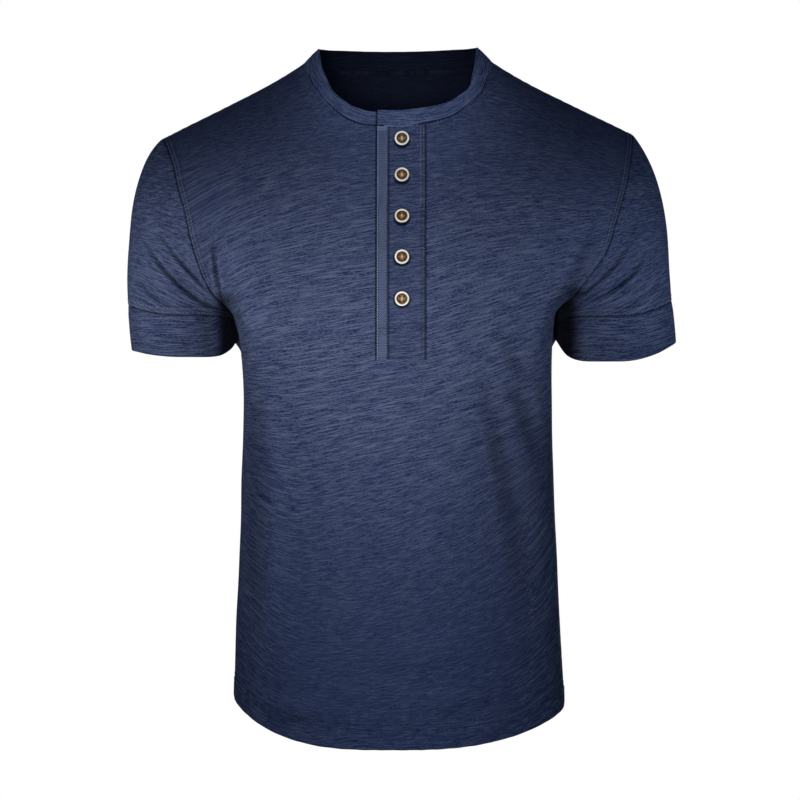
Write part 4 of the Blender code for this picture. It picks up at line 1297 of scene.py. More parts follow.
def cuff_look(grid, arm):
    """Painted shade and slub strength of a sleeve band, which has a painted dark line beside its seam and
    painted shade under the arm.
    """
    line = line_shade(distance_in(grid, UPPER_EDGE[arm]), CUFF_LINE)
    shade = underarm_shade(grid, arm) * (1 - line)
    return np.stack([shade, CUFF_STRENGTH + 0 * shade], axis=-1)


def placket_look(grid):
    """Painted shade and slub strength of a placket strip, with a painted shadow round each button where it
    sits on the cloth.
    """
    shade = np.ones(grid.shape[:2])
    for height in BUTTON_HEIGHTS:
        away = np.hypot(grid[..., 0] - BUTTON_ACROSS, grid[..., 2] - height + BUTTON_SHADE_DROP)
        clear = eased((away - BUTTON_RADIUS - BUTTON_SHADE_DROP) / BUTTON_SHADE_FADE)
        shade = shade * (1 - BUTTON_SHADE * (1 - clear))
    return np.stack([shade, 1 + 0 * shade], axis=-1)


def new_piece(name, mesh, materials):
    """An object in the garment's collection that rides on its one body."""
    piece = bpy.data.objects.new(name, mesh)
    garment_collection().objects.link(piece)
    for finish in materials:
        mesh.materials.append(finish)
    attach(piece, BODY_NAME)
    return piece


def garment_collection():
    if COLLECTION not in bpy.data.collections:
        made = bpy.data.collections.new(COLLECTION)
        bpy.context.scene.collection.children.link(made)
    return bpy.data.collections[COLLECTION]


def creased(grid, name, side):
    """A panel made smooth, with its folds and creases, which fade out at its edges."""
    smooth = relaxed(grid, EASE_PASSES)
    grid = raised(smooth, fold_rise, FOLDS[name], side)
    grid = raised(grid, crease_rise, CREASES[name], side)
    return smooth + (grid - smooth) * edge_fade(smooth, FOLD_FADE)[..., None]


@functools.lru_cache(maxsize=None)
def front_surface():
    """Outer face of the front panel, hem first, and the wearer's right to left."""
    right, left = front_neck_places()
    middle = np.linspace(SLOT_RIGHT, SLOT_LEFT, SLOT_COLUMNS + 1)[1:-1]
    top = np.concatenate([right, middle, left])
    even_right = np.linspace(-NECK_POINT, SLOT_RIGHT, len(right))
    even_left = np.linspace(SLOT_LEFT, NECK_POINT, len(left))
    grid = panel_grid(FRONT, top, np.concatenate([even_right, middle, even_left]))
    grid = creased(grid, "front", FRONT)
    across = np.abs(grid[..., 0] - (PLACKET_RIGHT + PLACKET_LEFT) / 2)
    wide = 1 - eased((across - CALM_ACROSS) / CALM_FADE)
    calm = 1 - wide * eased((grid[..., 2] - CALM_FOOT) / CALM_FOOT_FADE)
    rise = ripple_rise(grid, 0.0) * edge_fade(grid, RIPPLE_FADE) * calm + panel_seams(grid)
    return grid + outward(grid) * rise[..., None]


@functools.lru_cache(maxsize=None)
def back_surface():
    """Outer face of the back panel, hem first, and the wearer's left to right."""
    top = back_neck_places()
    grid = panel_grid(BACK, top, np.linspace(-NECK_POINT, NECK_POINT, len(top)))[:, ::-1]
    grid = creased(grid, "back", BACK)
    rise = ripple_rise(grid, 2.0) * edge_fade(grid, RIPPLE_FADE) + panel_seams(grid)
    rise = rise + underarm_gather(grid)
    return grid + outward(grid) * rise[..., None]


def underarm_gather(grid):
    """Cloth that bunches out behind each underarm, where the sleeve meets the side."""
    down = (grid[..., 2] - GATHER_HEIGHT) / GATHER_REACH
    behind = (grid[..., 1] - GATHER_DEPTH) / GATHER_REACH
    return GATHER_RISE * np.exp(-(down**2) - behind**2) * (np.abs(grid[..., 0]) > GATHER_ACROSS)


def panel_seams(grid):
    """Relief beside a panel's seams: the hem, armholes and sides, shoulders and neck."""
    rise = hem_relief(grid, HEM_DEPTH)
    for edge in ("right", "left", "top"):
        rise = rise + seam_pucker(grid, edge)
    return rise


@functools.lru_cache(maxsize=None)
def sleeve_surface(arm):
    """Outer face of a sleeve, armhole first on the left arm, columns starting at the underarm seam."""
    grid = np.roll(sleeve_grid(arm, SLEEVE_ROWS, SLEEVE_COLUMNS), SLEEVE_COLUMNS // 2, axis=1)
    if arm == RIGHT:
        grid = grid[::-1]
    name = f"sleeve_{ARM_NAMES[arm]}"
    grid = relaxed(grid, SLEEVE_EASE_PASSES, closed=True)
    seam = grid[EDGE_POINTS[UPPER_EDGE[arm]]][::4]
    away = np.linalg.norm(grid[:, :, None] - seam[None, None], axis=-1).min(axis=-1)
    share = np.minimum(edge_fade(grid, SLEEVE_FADE, closed=True), eased(away / ARMHOLE_FADE))
    normal = outward(relaxed(grid, SLEEVE_NORMAL_PASSES, closed=True), closed=True)
    lifts = [fold_rise(fold, grid) for fold in FOLDS[name]]
    lifts += [crease_rise(crease, grid) for crease in CREASES[name]]
    rise = facing_share(normal, FRONT) * sum(lifts)
    lifts = [crease_rise(crease, grid) for crease in CREASES[name + "_back"]]
    rise = rise + facing_share(normal, BACK) * sum(lifts)
    rise = SLEEVE_DEPTH * np.tanh(rise * share / SLEEVE_DEPTH)
    grid = grid + normal * rise[..., None]
    rise = SLEEVE_RIPPLE_SHARE * ripple_rise(grid, 1.0 + arm)
    rise = rise * edge_fade(grid, SLEEVE_RIPPLE_FADE, closed=True)
    rise = rise + seam_pucker(grid, "bottom") + seam_pucker(grid, "top")
    return grid + outward(grid, closed=True) * rise[..., None]


@functools.lru_cache(maxsize=None)
def cuff_surface(arm):
    """Outer face of a sleeve band, its seam first."""
    grid = np.roll(cuff_grid(arm, CUFF_ROWS, SLEEVE_COLUMNS), SLEEVE_COLUMNS // 2, axis=1)
    across = run_length(closed_up(grid), 1)[:, :-1]
    down = distance_in(grid, "bottom")
    swell = CUFF_SWELL * np.sin(np.clip(down / CUFF_DEPTH, 0, 1) * math.pi) ** 0.5
    phase = across * 2 * math.pi / CUFF_TWIST_LENGTH + down * CUFF_TWIST_SLANT
    twist = CUFF_TWIST * uneven_wave(phase, across, CUFF_WANDER)
    fade = eased(down / CUFF_FADE)
    return grid + outward(grid, closed=True) * arm * ((swell + twist) * fade)[..., None]


@functools.lru_cache(maxsize=None)
def neckband_surface():
    """Outer face of the neckband, its seam first, from the wearer's left end round to the right."""
    grid = relaxed(neckband_grid(NECKBAND_ROWS)[:, ::-1], 6)
    along = run_length(grid, 1)
    up = distance_in(grid, "bottom") / NECKBAND_WIDTH
    bulge = np.sin(np.clip(up, 0, 1) * math.pi)
    phase = along * 2 * math.pi / NECKBAND_TWIST_LENGTH + up * NECKBAND_TWIST_SLANT
    twist = NECKBAND_TWIST * uneven_wave(phase, along, NECKBAND_WANDER)
    return grid + outward(grid) * (NECKBAND_SWELL * bulge**0.6 + twist * bulge)[..., None]


def strip_surface(right_edge, left_edge, columns, lift):
    """Outer face of a placket strip, lying over or under the front."""
    grid = strip_grid(right_edge, left_edge, columns)
    normal = outward(grid)
    height = grid[..., 2]
    wave = PLACKET_WAVE * uneven_wave(height * PLACKET_WAVE_PACE, height, PLACKET_WANDER)
    wave = wave * np.sin(math.pi * np.linspace(0, 1, grid.shape[0]))[:, None]
    return grid + normal * lift + normal * wave[..., None]


def placket_top_surface():
    return strip_surface(PLACKET_RIGHT, PLACKET_LEFT, STRIP_COLUMNS, PLACKET_LIFT)


def placket_under_surface():
    return strip_surface(UNDER_RIGHT, UNDER_LEFT, STRIP_COLUMNS, UNDER_LIFT)


def tape_surface():
    return strip_surface(PLACKET_RIGHT, PLACKET_RIGHT + TAPE_WIDTH, TAPE_COLUMNS, TAPE_LIFT)


def slot_mask(rows, columns):
    """Cells of the front panel that the placket slot takes out."""
    mask = np.zeros((rows - 1, columns - 1), bool)
    first = OUTER_COLUMNS + FRONT_NECK_COLUMNS
    mask[FOOT_ROWS:, first : first + SLOT_COLUMNS] = True
    return mask


def inset(grid, edge, distance, closed=False, part=slice(None)):
    """A line over the cloth at that distance from one edge of the grid, with the cloth's normals."""
    lines, normals = grid, outward(grid, closed)
    if edge in ("bottom", "top"):
        lines, normals = lines.transpose(1, 0, 2), normals.transpose(1, 0, 2)
    if edge in ("top", "left"):
        lines, normals = lines[:, ::-1], normals[:, ::-1]
    lines, normals = lines[part], normals[part]
    found = np.empty((2, len(lines), 3))
    for number, row in enumerate(run_length(lines, 1)):
        for axis in range(3):
            found[0, number, axis] = np.interp(distance, row, lines[number, :, axis])
            found[1, number, axis] = np.interp(distance, row, normals[number, :, axis])
    if closed and edge in ("bottom", "top"):
        found = closed_up(found)
    return found[0], found[1]


def on_strip(places, lift):
    """Points on the placket at places given as (across, height), that far above the front panel."""
    across, height = np.asarray(places, float).T
    here = body_points(FRONT, ring_angle(across, height), height)
    beside = body_points(FRONT, ring_angle(across + NORMAL_STEP, height), height)
    above = body_points(FRONT, ring_angle(across, height + NORMAL_STEP), height + NORMAL_STEP)
    normal = np.cross(beside - here, above - here)
    normal = normal / np.linalg.norm(normal, axis=-1, keepdims=True)
    return here + normal * lift, normal


def stitched(line, length, gap, reach):
    """Stitches laid end to end along a line: points along each thread, and the cloth's normal there."""
    points, normals = line
    run = run_length(points, 0)
    pitch = length + gap
    count = max(int(run[-1] // pitch), 1)
    middle = (np.arange(count) + 0.5) * pitch + (run[-1] - count * pitch) / 2
    share = np.array([along for along, _, _ in THREAD_SHAPE])
    places = middle[:, None] + share * length * reach
    spots = np.stack([np.interp(places, run, points[:, axis]) for axis in range(3)], axis=-1)
    faces = np.stack([np.interp(middle, run, normals[:, axis]) for axis in range(3)], axis=-1)
    return spots, faces


def thread_mesh(name, stitches, radius):
    """One mesh of all the stitches, and the painted underarm shade that each has where it lies."""
    spots, faces = (np.concatenate(found) for found in zip(*stitches))
    faces = faces / np.linalg.norm(faces, axis=-1, keepdims=True)
    ahead = spots[:, -1] - spots[:, 0]
    ahead = ahead / np.linalg.norm(ahead, axis=-1, keepdims=True)
    side = np.cross(ahead, faces)
    side = side / np.linalg.norm(side, axis=-1, keepdims=True)
    up = np.cross(side, ahead)
    thick = np.array([size for _, size, _ in THREAD_SHAPE])[:, None, None] * radius
    lift = np.array([height for _, _, height in THREAD_SHAPE])[:, None] * radius
    turn = np.linspace(0, 2 * math.pi, THREAD_SIDES, endpoint=False)
    circle = np.cos(turn)[:, None] * side[:, None, None] + np.sin(turn)[:, None] * up[:, None, None]
    centre = spots + faces[:, None] * lift
    points = (centre[:, :, None] + circle * thick).reshape(-1, 3)
    count, rings = spots.shape[:2]
    one = cells(rings, THREAD_SIDES, True).reshape(-1, 4)
    base = np.arange(count)[:, None, None] * rings * THREAD_SIDES
    mesh = bpy.data.meshes.new(name)
    mesh.from_pydata(points, [], (one[None] + base).reshape(-1, 4).tolist())
    shade = np.where(points[:, 0] < 0, underarm_shade(points, RIGHT), underarm_shade(points, LEFT))
    add_look(mesh, np.stack([shade, 1 + 0 * shade], axis=-1))
    mesh.shade_smooth()
    return mesh


def add_look(mesh, look):
    """Stores each point's painted shade, as a share of its colour, and its slub strength."""
    wanted = np.concatenate([look, np.zeros((len(look), 1)), np.ones((len(look), 1))], axis=1)
    layer = mesh.color_attributes.new(name=LOOK, type="FLOAT_COLOR", domain="POINT")
    layer.data.foreach_set("color", wanted.astype(np.float32).reshape(-1))


def make_stitches(name, lines, settings, finish, radius=None, length=None, reach=1.0):
    length = length or settings.stitch_length
    stitches = [stitched(line, length, settings.stitch_gap, reach) for line in lines]
    piece = new_piece(name, thread_mesh(name, stitches, radius or settings.thread_radius), [finish])


def node(tree, kind, **settings):
    made = tree.nodes.new(kind)
    for name, value in settings.items():
        setattr(made, name, value)
    return made


def feed(tree, socket, value):
    """Sets a socket to a plain value, or links another socket to it."""
    if isinstance(value, bpy.types.NodeSocket):
        tree.links.new(value, socket)
    else:
        socket.default_value = value


def feed_named(tree, made, **values):
    """Feeds inputs by name, written with an underscore for each space."""
    for name, value in values.items():
        feed(tree, made.inputs[name.replace("_", " ")], value)


def maths(operation, tree, *values):
    made = node(tree, "ShaderNodeMath", operation=operation)
    for socket, value in zip(made.inputs, values):
        feed(tree, socket, value)
    return made.outputs[0]


plus = functools.partial(maths, "ADD")
minus = functools.partial(maths, "SUBTRACT")
times = functools.partial(maths, "MULTIPLY")


def mixed(tree, share, first, second):
    """A mix of two colours, whose sockets are numbered because a Mix node has several of each name."""
    made = node(tree, "ShaderNodeMix", data_type="RGBA", blend_type="MIX")
    for number, value in ((0, share), (6, first), (7, second)):
        feed(tree, made.inputs[number], value)
    return made.outputs[2]


def between(tree, value, low, high):
    """0 below low, 1 above high, gently in between."""
    made = node(tree, "ShaderNodeMapRange", interpolation_type="SMOOTHSTEP")
    feed_named(tree, made, Value=value, From_Min=low, From_Max=high)
    return made.outputs["Result"]


def separated(tree, place):
    """The three parts of a place."""
    split = node(tree, "ShaderNodeSeparateXYZ")
    tree.links.new(place, split.inputs[0])
    return split.outputs


def noise(tree, place=None, **settings):
    made = node(tree, "ShaderNodeTexNoise")
    feed_named(tree, made, **settings)
    if place is not None:
        tree.links.new(place, made.inputs["Vector"])
    return made.outputs["Fac"]


def cloth_noise(tree, along, up, layer, start=None):
    """A layer of noise over the cloth, counted from the piece's own seed where it has one."""
    values = [times(tree, along, layer.run), times(tree, up, layer.rise)]
    values.append(layer.seed if start is None else plus(tree, start, layer.seed))
    place = node(tree, "ShaderNodeCombineXYZ")
    for socket, value in zip(place.inputs, values):
        feed(tree, socket, value)
    return noise(tree, place.outputs[0], Scale=1.0, Detail=layer.detail, Roughness=0.5)


def scaled(tree, colour, share):
    """A colour made darker or lighter by a share."""
    made = node(tree, "ShaderNodeVectorMath", operation="SCALE")
    tree.links.new(colour, made.inputs[0])
    tree.links.new(share, made.inputs["Scale"])
    return made.outputs[0]


def slub_group():
    """Uneven yarn: short thick places and thin ones lying along the courses, over fine knit loops."""
    name = "slub_yarn"
    if name in bpy.data.node_groups:
        return bpy.data.node_groups[name]
    group = bpy.data.node_groups.new(name, "ShaderNodeTree")
    for label, kind, usual in SLUB_INPUTS:
        socket = group.interface.new_socket(name=label, in_out="INPUT", socket_type=kind)
        if usual is not None:
            socket.default_value = usual
    for label, kind in SLUB_OUTPUTS:
        group.interface.new_socket(name=label, in_out="OUTPUT", socket_type=kind)
    start = group.nodes.new("NodeGroupInput").outputs
    end = group.nodes.new("NodeGroupOutput").inputs
    across, up, _ = separated(group, start["Pattern"])
    along = maths("DIVIDE", group, across, start["Length"])

    long_dash, short_dash, fine_dash, patch = (
        cloth_noise(group, along, up, layer, start["Seed"])
        for layer in (LONG_DASH, SHORT_DASH, FINE_DASH, PATCH)
    )
    slub = between(group, long_dash, *DASH_EDGES)
    thin = between(group, minus(group, 1.0, short_dash), *DASH_EDGES)
    speck = minus(group, fine_dash, 0.5)
    broad = minus(group, patch, 0.5)
    bright = times(group, plus(group, slub, times(group, speck, 1.3)), start["Dash"])
    dark = times(group, minus(group, thin, times(group, speck, 0.9)), start["Dash"])
    dark = minus(group, dark, times(group, broad, 0.6))
    colour = mixed(group, times(group, dark, 0.8), start["Middle"], start["Deep"])
    colour = mixed(group, times(group, bright, 0.85), colour, start["Pale"])
    group.links.new(colour, end["Colour"])
    loop = maths("SINE", group, times(group, across, 2 * math.pi / KNIT_LOOP))
    course = maths("SINE", group, times(group, up, 2 * math.pi / KNIT_COURSE))
    knit = times(group, times(group, loop, course), 0.12)
    height = minus(group, times(group, slub, 0.7), times(group, thin, 0.45))
    height = plus(group, height, times(group, speck, 0.5))
    group.links.new(plus(group, height, knit), end["Height"])
    return group


def made_once(build):
    """Hands back the material of that name where there is one already."""

    @functools.wraps(build)
    def found_or_built(name, *given, **named):
        return bpy.data.materials.get(name) or build(name, *given, **named)

    return found_or_built


def new_material(name):
    """A material with its shader, ready for links."""
    made = bpy.data.materials.new(name)
    made.use_nodes = True
    return made, made.node_tree, made.node_tree.nodes["Principled BSDF"]


def pattern_place(tree):
    return node(tree, "ShaderNodeUVMap", uv_map=PATTERN).outputs[0]


def object_place(tree):
    return node(tree, "ShaderNodeTexCoord").outputs["Object"]


def look_parts(tree):
    """Each point's painted shade, as a share of its colour, and its slub strength."""
    look = node(tree, "ShaderNodeSeparateColor")
    tree.links.new(node(tree, "ShaderNodeAttribute", attribute_name=LOOK).outputs["Color"], look.inputs[0])
    return look.outputs


def smoother_above(tree, height, surface):
    """Roughness of a surface whose raised places are smoother, for a height from 0 to 1."""
    return minus(tree, surface.rough, times(tree, height, surface.smoother))


def bumped(tree, shader, height, relief, depth):
    bump = node(tree, "ShaderNodeBump")
    feed_named(tree, bump, Strength=relief, Distance=depth, Height=height)
    tree.links.new(bump.outputs[0], shader.inputs["Normal"])


def tinted(colour, share=1.0):
    return (*(channel * share for channel in colour[:3]), 1.0)


@made_once
def jersey_material(name, settings, shade_share=1.0):
    """Slub jersey, with its own seed so that no two pieces repeat each other.

    The slubs are longer where they show more strongly.
    """
    seed, share, dash, lines = JERSEYS[name]
    share = share * shade_share
    made, tree, shader = new_material(name)
    slub = node(tree, "ShaderNodeGroup", node_tree=slub_group())
    tree.links.new(pattern_place(tree), slub.inputs["Pattern"])
    shade, strength, _ = look_parts(tree)
    contrast = times(tree, strength, settings.slub_contrast * dash)
    run = plus(tree, SLUB_SHORTEST, times(tree, between(tree, strength, *LENGTH_EDGES), SLUB_GROWTH))
    feed_named(
        tree, slub, Seed=seed, Dash=contrast, Length=times(tree, run, settings.slub_length),
        Deep=tinted(settings.deep_colour, share), Middle=tinted(settings.middle_colour, share),
        Pale=tinted(settings.pale_colour, share),
    )
    # The yarn's colour is darkened by the painted shade stored on the points
    lit = scaled(tree, slub.outputs["Colour"], shade)
    # Lines of painted shadow where a layer of the placket ends
    if lines:
        lit = scaled(tree, lit, placket_shadow_lines(tree, lines))
    tree.links.new(lit, shader.inputs["Base Color"])
    raised_yarn = between(tree, slub.outputs["Height"], -0.4, 0.8)
    feed_named(
        tree, shader, Roughness=smoother_above(tree, raised_yarn, JERSEY), Specular_IOR_Level=JERSEY.specular,
        Sheen_Weight=settings.sheen, Sheen_Roughness=SHEEN_ROUGHNESS, Sheen_Tint=SHEEN_TINT,
    )
    bumped(tree, shader, slub.outputs["Height"], JERSEY.relief, JERSEY.depth)
    return made


def inside_shadow_material(settings):
    """The inner face of the cloth, smoother, and darkened by a share: painted shade for the shirt's dark
    inside.
    """
    return jersey_material("jersey_reverse", settings, settings.inside_shadow_share)


@made_once
def tape_material(name, settings):
    """Herringbone tape: slanting ribs that turn over at the middle and at each side."""
    made, tree, shader = new_material(name)
    across, along, _ = separated(tree, pattern_place(tree))
    turned = maths("PINGPONG", tree, across, TAPE_WIDTH / 4)
    slant = plus(tree, along, times(tree, turned, TAPE_SLANT))
    rib = maths("SINE", tree, times(tree, slant, 2 * math.pi / TAPE_RIB))
    rib = between(tree, rib, -0.5, 0.7)
    fleck = cloth_noise(tree, across, along, TAPE_FLECKS)
    wear = cloth_noise(tree, across, along, TAPE_WEAR)
    colour = mixed(tree, rib, tinted(settings.tape_dark), tinted(settings.tape_pale))
    colour = mixed(tree, between(tree, fleck, 0.55, 0.75), colour, tinted(settings.tape_fleck))
    worn = times(tree, between(tree, wear, 0.45, 0.7), 0.35)
    colour = mixed(tree, worn, colour, tinted(settings.tape_dark))
    bright = times(tree, between(tree, across, *TAPE_EDGE), 0.75)
    # Painted shade along the tape's edge that lies on the placket
    edge = dark_line(tree, across, TAPE_WIDTH, 0.0012, 0.55)
    edge = times(tree, edge, plus(tree, 0.95, bright))
    head = times(tree, between(tree, along, *TAPE_HEAD), 0.5)
    edge = times(tree, edge, plus(tree, 1.0, head))
    tree.links.new(scaled(tree, colour, edge), shader.inputs["Base Color"])
    rough = smoother_above(tree, rib, TAPE)
    feed_named(tree, shader, Roughness=rough, Specular_IOR_Level=TAPE.specular, Sheen_Weight=0.03)
    bumped(tree, shader, plus(tree, rib, times(tree, fleck, 0.4)), TAPE.relief, TAPE.depth)
    return made


def dark_line(tree, place, at, width, share):
    """1 away from a line, falling to less than 1 on it, for a place given in metres."""
    away = maths("ABSOLUTE", tree, minus(tree, place, at))
    return minus(tree, 1.0, times(tree, between(tree, away, width, width * 0.25), share))


def placket_shadow_lines(tree, lines):
    """Thin lines of painted shadow up the front where one layer of the placket ends on another."""
    across, deep, height = separated(tree, object_place(tree))
    total = dark_line(tree, across, *lines[0])
    for line in lines[1:]:
        total = times(tree, total, dark_line(tree, across, *line))
    above_foot = between(tree, height, PLACKET_FOOT - 0.001, PLACKET_FOOT)
    inside = times(tree, above_foot, between(tree, deep, 0.0, -0.01))
    return plus(tree, 1.0, times(tree, minus(tree, total, 1.0), inside))


@made_once
def thread_material(name, colour, dark_share, shaded=True):
    """Spun thread: two plies that wind round each other."""
    made, tree, shader = new_material(name)
    grain = noise(tree, object_place(tree), Scale=900, Detail=2)
    share = between(tree, grain, 0.35, 0.65)
    shade = mixed(tree, share, tinted(colour, dark_share), tinted(colour))
    # Stitches under the arm are darkened by the painted underarm shade on their points
    if shaded:
        shade = scaled(tree, shade, look_parts(tree)[0])
    tree.links.new(shade, shader.inputs["Base Color"])
    rough = smoother_above(tree, share, THREAD)
    feed_named(tree, shader, Roughness=rough, Specular_IOR_Level=THREAD.specular, Sheen_Weight=0.05)
    bumped(tree, shader, grain, THREAD.relief, THREAD.depth)
    return made


@made_once
def horn_material(name, dark, pale, rough, scale, middle=None):
    """Polished resin made to look like horn: cloudy streaks, fine scratches, perhaps a paler middle."""
    made, tree, shader = new_material(name)
    place = object_place(tree)
    cloud = noise(tree, place, Scale=scale, Detail=3, Distortion=1.2)
    scratch = noise(tree, place, Scale=2600, Detail=1)
    colour = mixed(tree, between(tree, cloud, 0.35, 0.65), tinted(dark), tinted(pale))
    if middle:
        flat = node(tree, "ShaderNodeVectorMath", operation="MULTIPLY")
        feed(tree, flat.inputs[0], place)
        flat.inputs[1].default_value = (1, 1, 0)
        reach = node(tree, "ShaderNodeVectorMath", operation="LENGTH")
        feed(tree, reach.inputs[0], flat.outputs[0])
        share = between(tree, reach.outputs["Value"], *CENTRE_FADE)
        colour = mixed(tree, share, tinted(middle), colour)
    tree.links.new(colour, shader.inputs["Base Color"])
    worn = times(tree, between(tree, scratch, 0.45, 0.75), 0.25)
    feed_named(tree, shader, Roughness=plus(tree, worn, rough), Specular_IOR_Level=0.1)
    bumped(tree, shader, scratch, 0.15, 0.0001)
    return made


@made_once
def hole_shadow_material(name, settings):
    """Near-black walls for a button's holes: painted shade for the dark inside of the holes."""
    made, tree, shader = new_material(name)
    feed_named(tree, shader, Base_Color=tinted(settings.hole), Roughness=0.8, Specular_IOR_Level=0.1)
    return made


def turned_in(depth, *edges):
    """Edges of a cloth that turn straight in by that depth."""
    return [(edge, depth) for edge in edges]


def make_panel(name, grid, side, materials, slot=None):
    """A panel with its hem turned up inside, and perhaps a slot left out of it."""
    folded = folded_over(grid[::-1], HEM_FOLD, HEM_ROWS, face=-1)[::-1]
    if slot is not None:
        slot = np.pad(slot, ((len(folded) - len(grid), 0), (0, 0)))
    made = cloth(
        name, folded, panel_pattern(folded), JERSEY_WALL, materials, left_out=slot,
        turned=turned_in(SEAM_TURN, "right", "left", "top"), look=panel_look(folded, side),
    )
    return made


def sleeve_piece(arm, materials):
    name = ARM_NAMES[arm]
    grid = sleeve_surface(arm)
    upper = UPPER_EDGE[arm]
    rings = armhole_allowance(grid[EDGE_POINTS[upper]], arm)
    made = cloth(
        f"cloth_sleeve_{name}", grid, sleeve_pattern(grid, arm), JERSEY_WALL, materials, closed=True,
        turned=((LOWER_EDGE[arm], SEAM_TURN), (upper, SEAM_TURN, rings)), look=sleeve_look(grid, arm),
    )
    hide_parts(f"sleeve_{name}")
    return made


def armhole_allowance(seam, arm):
    """Two rings that carry a sleeve's armhole edge on under the panels it is sewn to."""
    lines = [
        inset(grid, ARM_NAMES[outer], SEAM_ALLOWANCE, part=slice(ARMHOLE_FIRST_ROW, None))
        for grid, outer in ((front_surface(), arm), (back_surface(), -arm))
    ]
    return allowance(seam, lines, True)


def allowance(seam, lines, closed):
    """Two rings that carry an edge on under the panels it is sewn to, towards these lines on them."""
    spots, normals = (np.concatenate(found) for found in zip(*lines))
    nearest = np.argmin(np.linalg.norm(seam[:, None] - spots[None], axis=-1), axis=1)
    sunk = normals[nearest] * (JERSEY_WALL + LAYER_GAP)
    under = spots[nearest] - sunk
    for _ in range(4):
        mean = (np.roll(under, 1, axis=0) + 2 * under + np.roll(under, -1, axis=0)) / 4
        if not closed:
            mean[0], mean[-1] = under[0], under[-1]
        under = mean
    return [0.3 * seam + 0.7 * (seam - sunk), under]


def cuff_piece(arm, materials):
    name = ARM_NAMES[arm]
    folded = folded_over(cuff_surface(arm), CUFF_FOLD, CUFF_ROWS, closed=True, face=arm)
    inside = (len(folded) - CUFF_ROWS - 2, len(folded))
    if arm == RIGHT:
        folded = folded[::-1]
        inside = (0, CUFF_ROWS + 1)
    made = cloth(
        f"cloth_cuff_{name}", folded, band_pattern(folded, closed=True), BAND_LAYER, materials, closed=True,
        turned=turned_in(BAND_LAYER, UPPER_EDGE[arm]), inside=inside, look=cuff_look(folded, arm),
    )
    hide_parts(f"cuff_{name}")
    return made


def mesh_from(build, name):
    mesh = bpy.data.meshes.new(name)
    build.to_mesh(mesh)
    build.free()
    return mesh


def button_place(height, tilt):
    """Where a button sits on the placket, tilted a little on its thread."""
    (seat,), (face,) = on_strip([(BUTTON_ACROSS, height)], PLACKET_LIFT + SEAM_GAP)
    turn = Vector(face).to_track_quat("Z", "Y").to_matrix().to_4x4()
    lean = Matrix.Rotation(math.radians(tilt), 4, "X")
    return Matrix.Translation(Vector(seat)) @ turn @ lean


def button_holes():
    """Middles of the four holes, from the button's own middle."""
    aims = [math.pi / 4 + corner * math.pi / 2 for corner in range(4)]
    return [Vector((math.cos(aim), math.sin(aim), 0)) * BUTTON_HOLE_SPREAD for aim in aims]


def button_outline():
    """Half section of a button, from the middle of its sunk face over a rounded rim to its back."""
    floor = BUTTON_THICKNESS - BUTTON_RECESS
    inner = BUTTON_RADIUS - BUTTON_RIM
    line = [(0.0, floor), (inner * 0.5, floor), (inner - 0.0006, floor), (inner - 0.0002, floor + 0.0001)]
    half = BUTTON_RIM * BUTTON_RIM_SHARE
    for share in np.linspace(0, 1, BUTTON_RIM_SAMPLES):
        turn = math.pi * (1 - share)
        rise = (BUTTON_RECESS - BUTTON_STEP) * math.sin(turn) ** BUTTON_RIM_POWER
        line.append((inner + half + half * math.cos(turn), floor + BUTTON_STEP + rise))
    line += [
        (BUTTON_RADIUS, BUTTON_THICKNESS * 0.5),
        (BUTTON_RADIUS - BUTTON_BACK_ROUNDING, BUTTON_THICKNESS * 0.22),
        (BUTTON_RADIUS - BUTTON_RIM, 0.0),
        (0.0, 0.0),
    ]
    return line


def button_disc(name):
    """A button without its holes, turned from its outline."""
    build = bmesh.new()
    line = [build.verts.new((out, 0.0, up)) for out, up in button_outline()]
    edges = [build.edges.new(pair) for pair in zip(line, line[1:])]
    bmesh.ops.spin(
        build, geom=line + edges, axis=(0, 0, 1), cent=(0, 0, 0), angle=2 * math.pi,
        steps=BUTTON_STEPS, use_merge=True,
    )
    bmesh.ops.remove_doubles(build, verts=build.verts, dist=1e-6)
    bmesh.ops.recalc_face_normals(build, faces=build.faces)
    for part in build.faces:
        middle = part.calc_center_median()
        on_rim = math.hypot(middle.x, middle.y) > BUTTON_RADIUS - BUTTON_RIM - BUTTON_FINISH_EDGE
        part.material_index = BUTTON_FINISHES["rim" if on_rim else "centre"]
        part.smooth = True
    return mesh_from(build, name)


def button_drill(name):
    """Four rods in the places of the holes."""
    build = bmesh.new()
    for spot in button_holes():
        bmesh.ops.create_cone(
            build, cap_ends=True, segments=BUTTON_HOLE_SIDES, radius1=BUTTON_HOLE_RADIUS,
            radius2=BUTTON_HOLE_RADIUS, depth=4 * BUTTON_THICKNESS, matrix=Matrix.Translation(spot),
        )
    for part in build.faces:
        part.material_index = BUTTON_FINISHES["hole"]
    return mesh_from(build, name)


def button_piece(number, matrix, finishes):
    """A turned button with its four holes cut out."""
    made = new_piece(f"button_{number}_turned", button_disc(f"button_{number}_turned"), finishes)
    made.matrix_world = matrix
    drill = bpy.data.objects.new(f"button_{number}_drill", button_drill("button_drill"))
    for finish in finishes:
        drill.data.materials.append(finish)
    drill.matrix_world = matrix
    bpy.context.scene.collection.objects.link(drill)
    cut = made.modifiers.new("holes", "BOOLEAN")
    cut.operation = "DIFFERENCE"
    cut.object = drill
    bpy.context.view_layer.update()
    graph = bpy.context.evaluated_depsgraph_get()
    cut_mesh = bpy.data.meshes.new_from_object(made.evaluated_get(graph))
    made.modifiers.clear()
    made.data = cut_mesh
    bpy.data.objects.remove(drill)
    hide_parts(f"button_{number}")


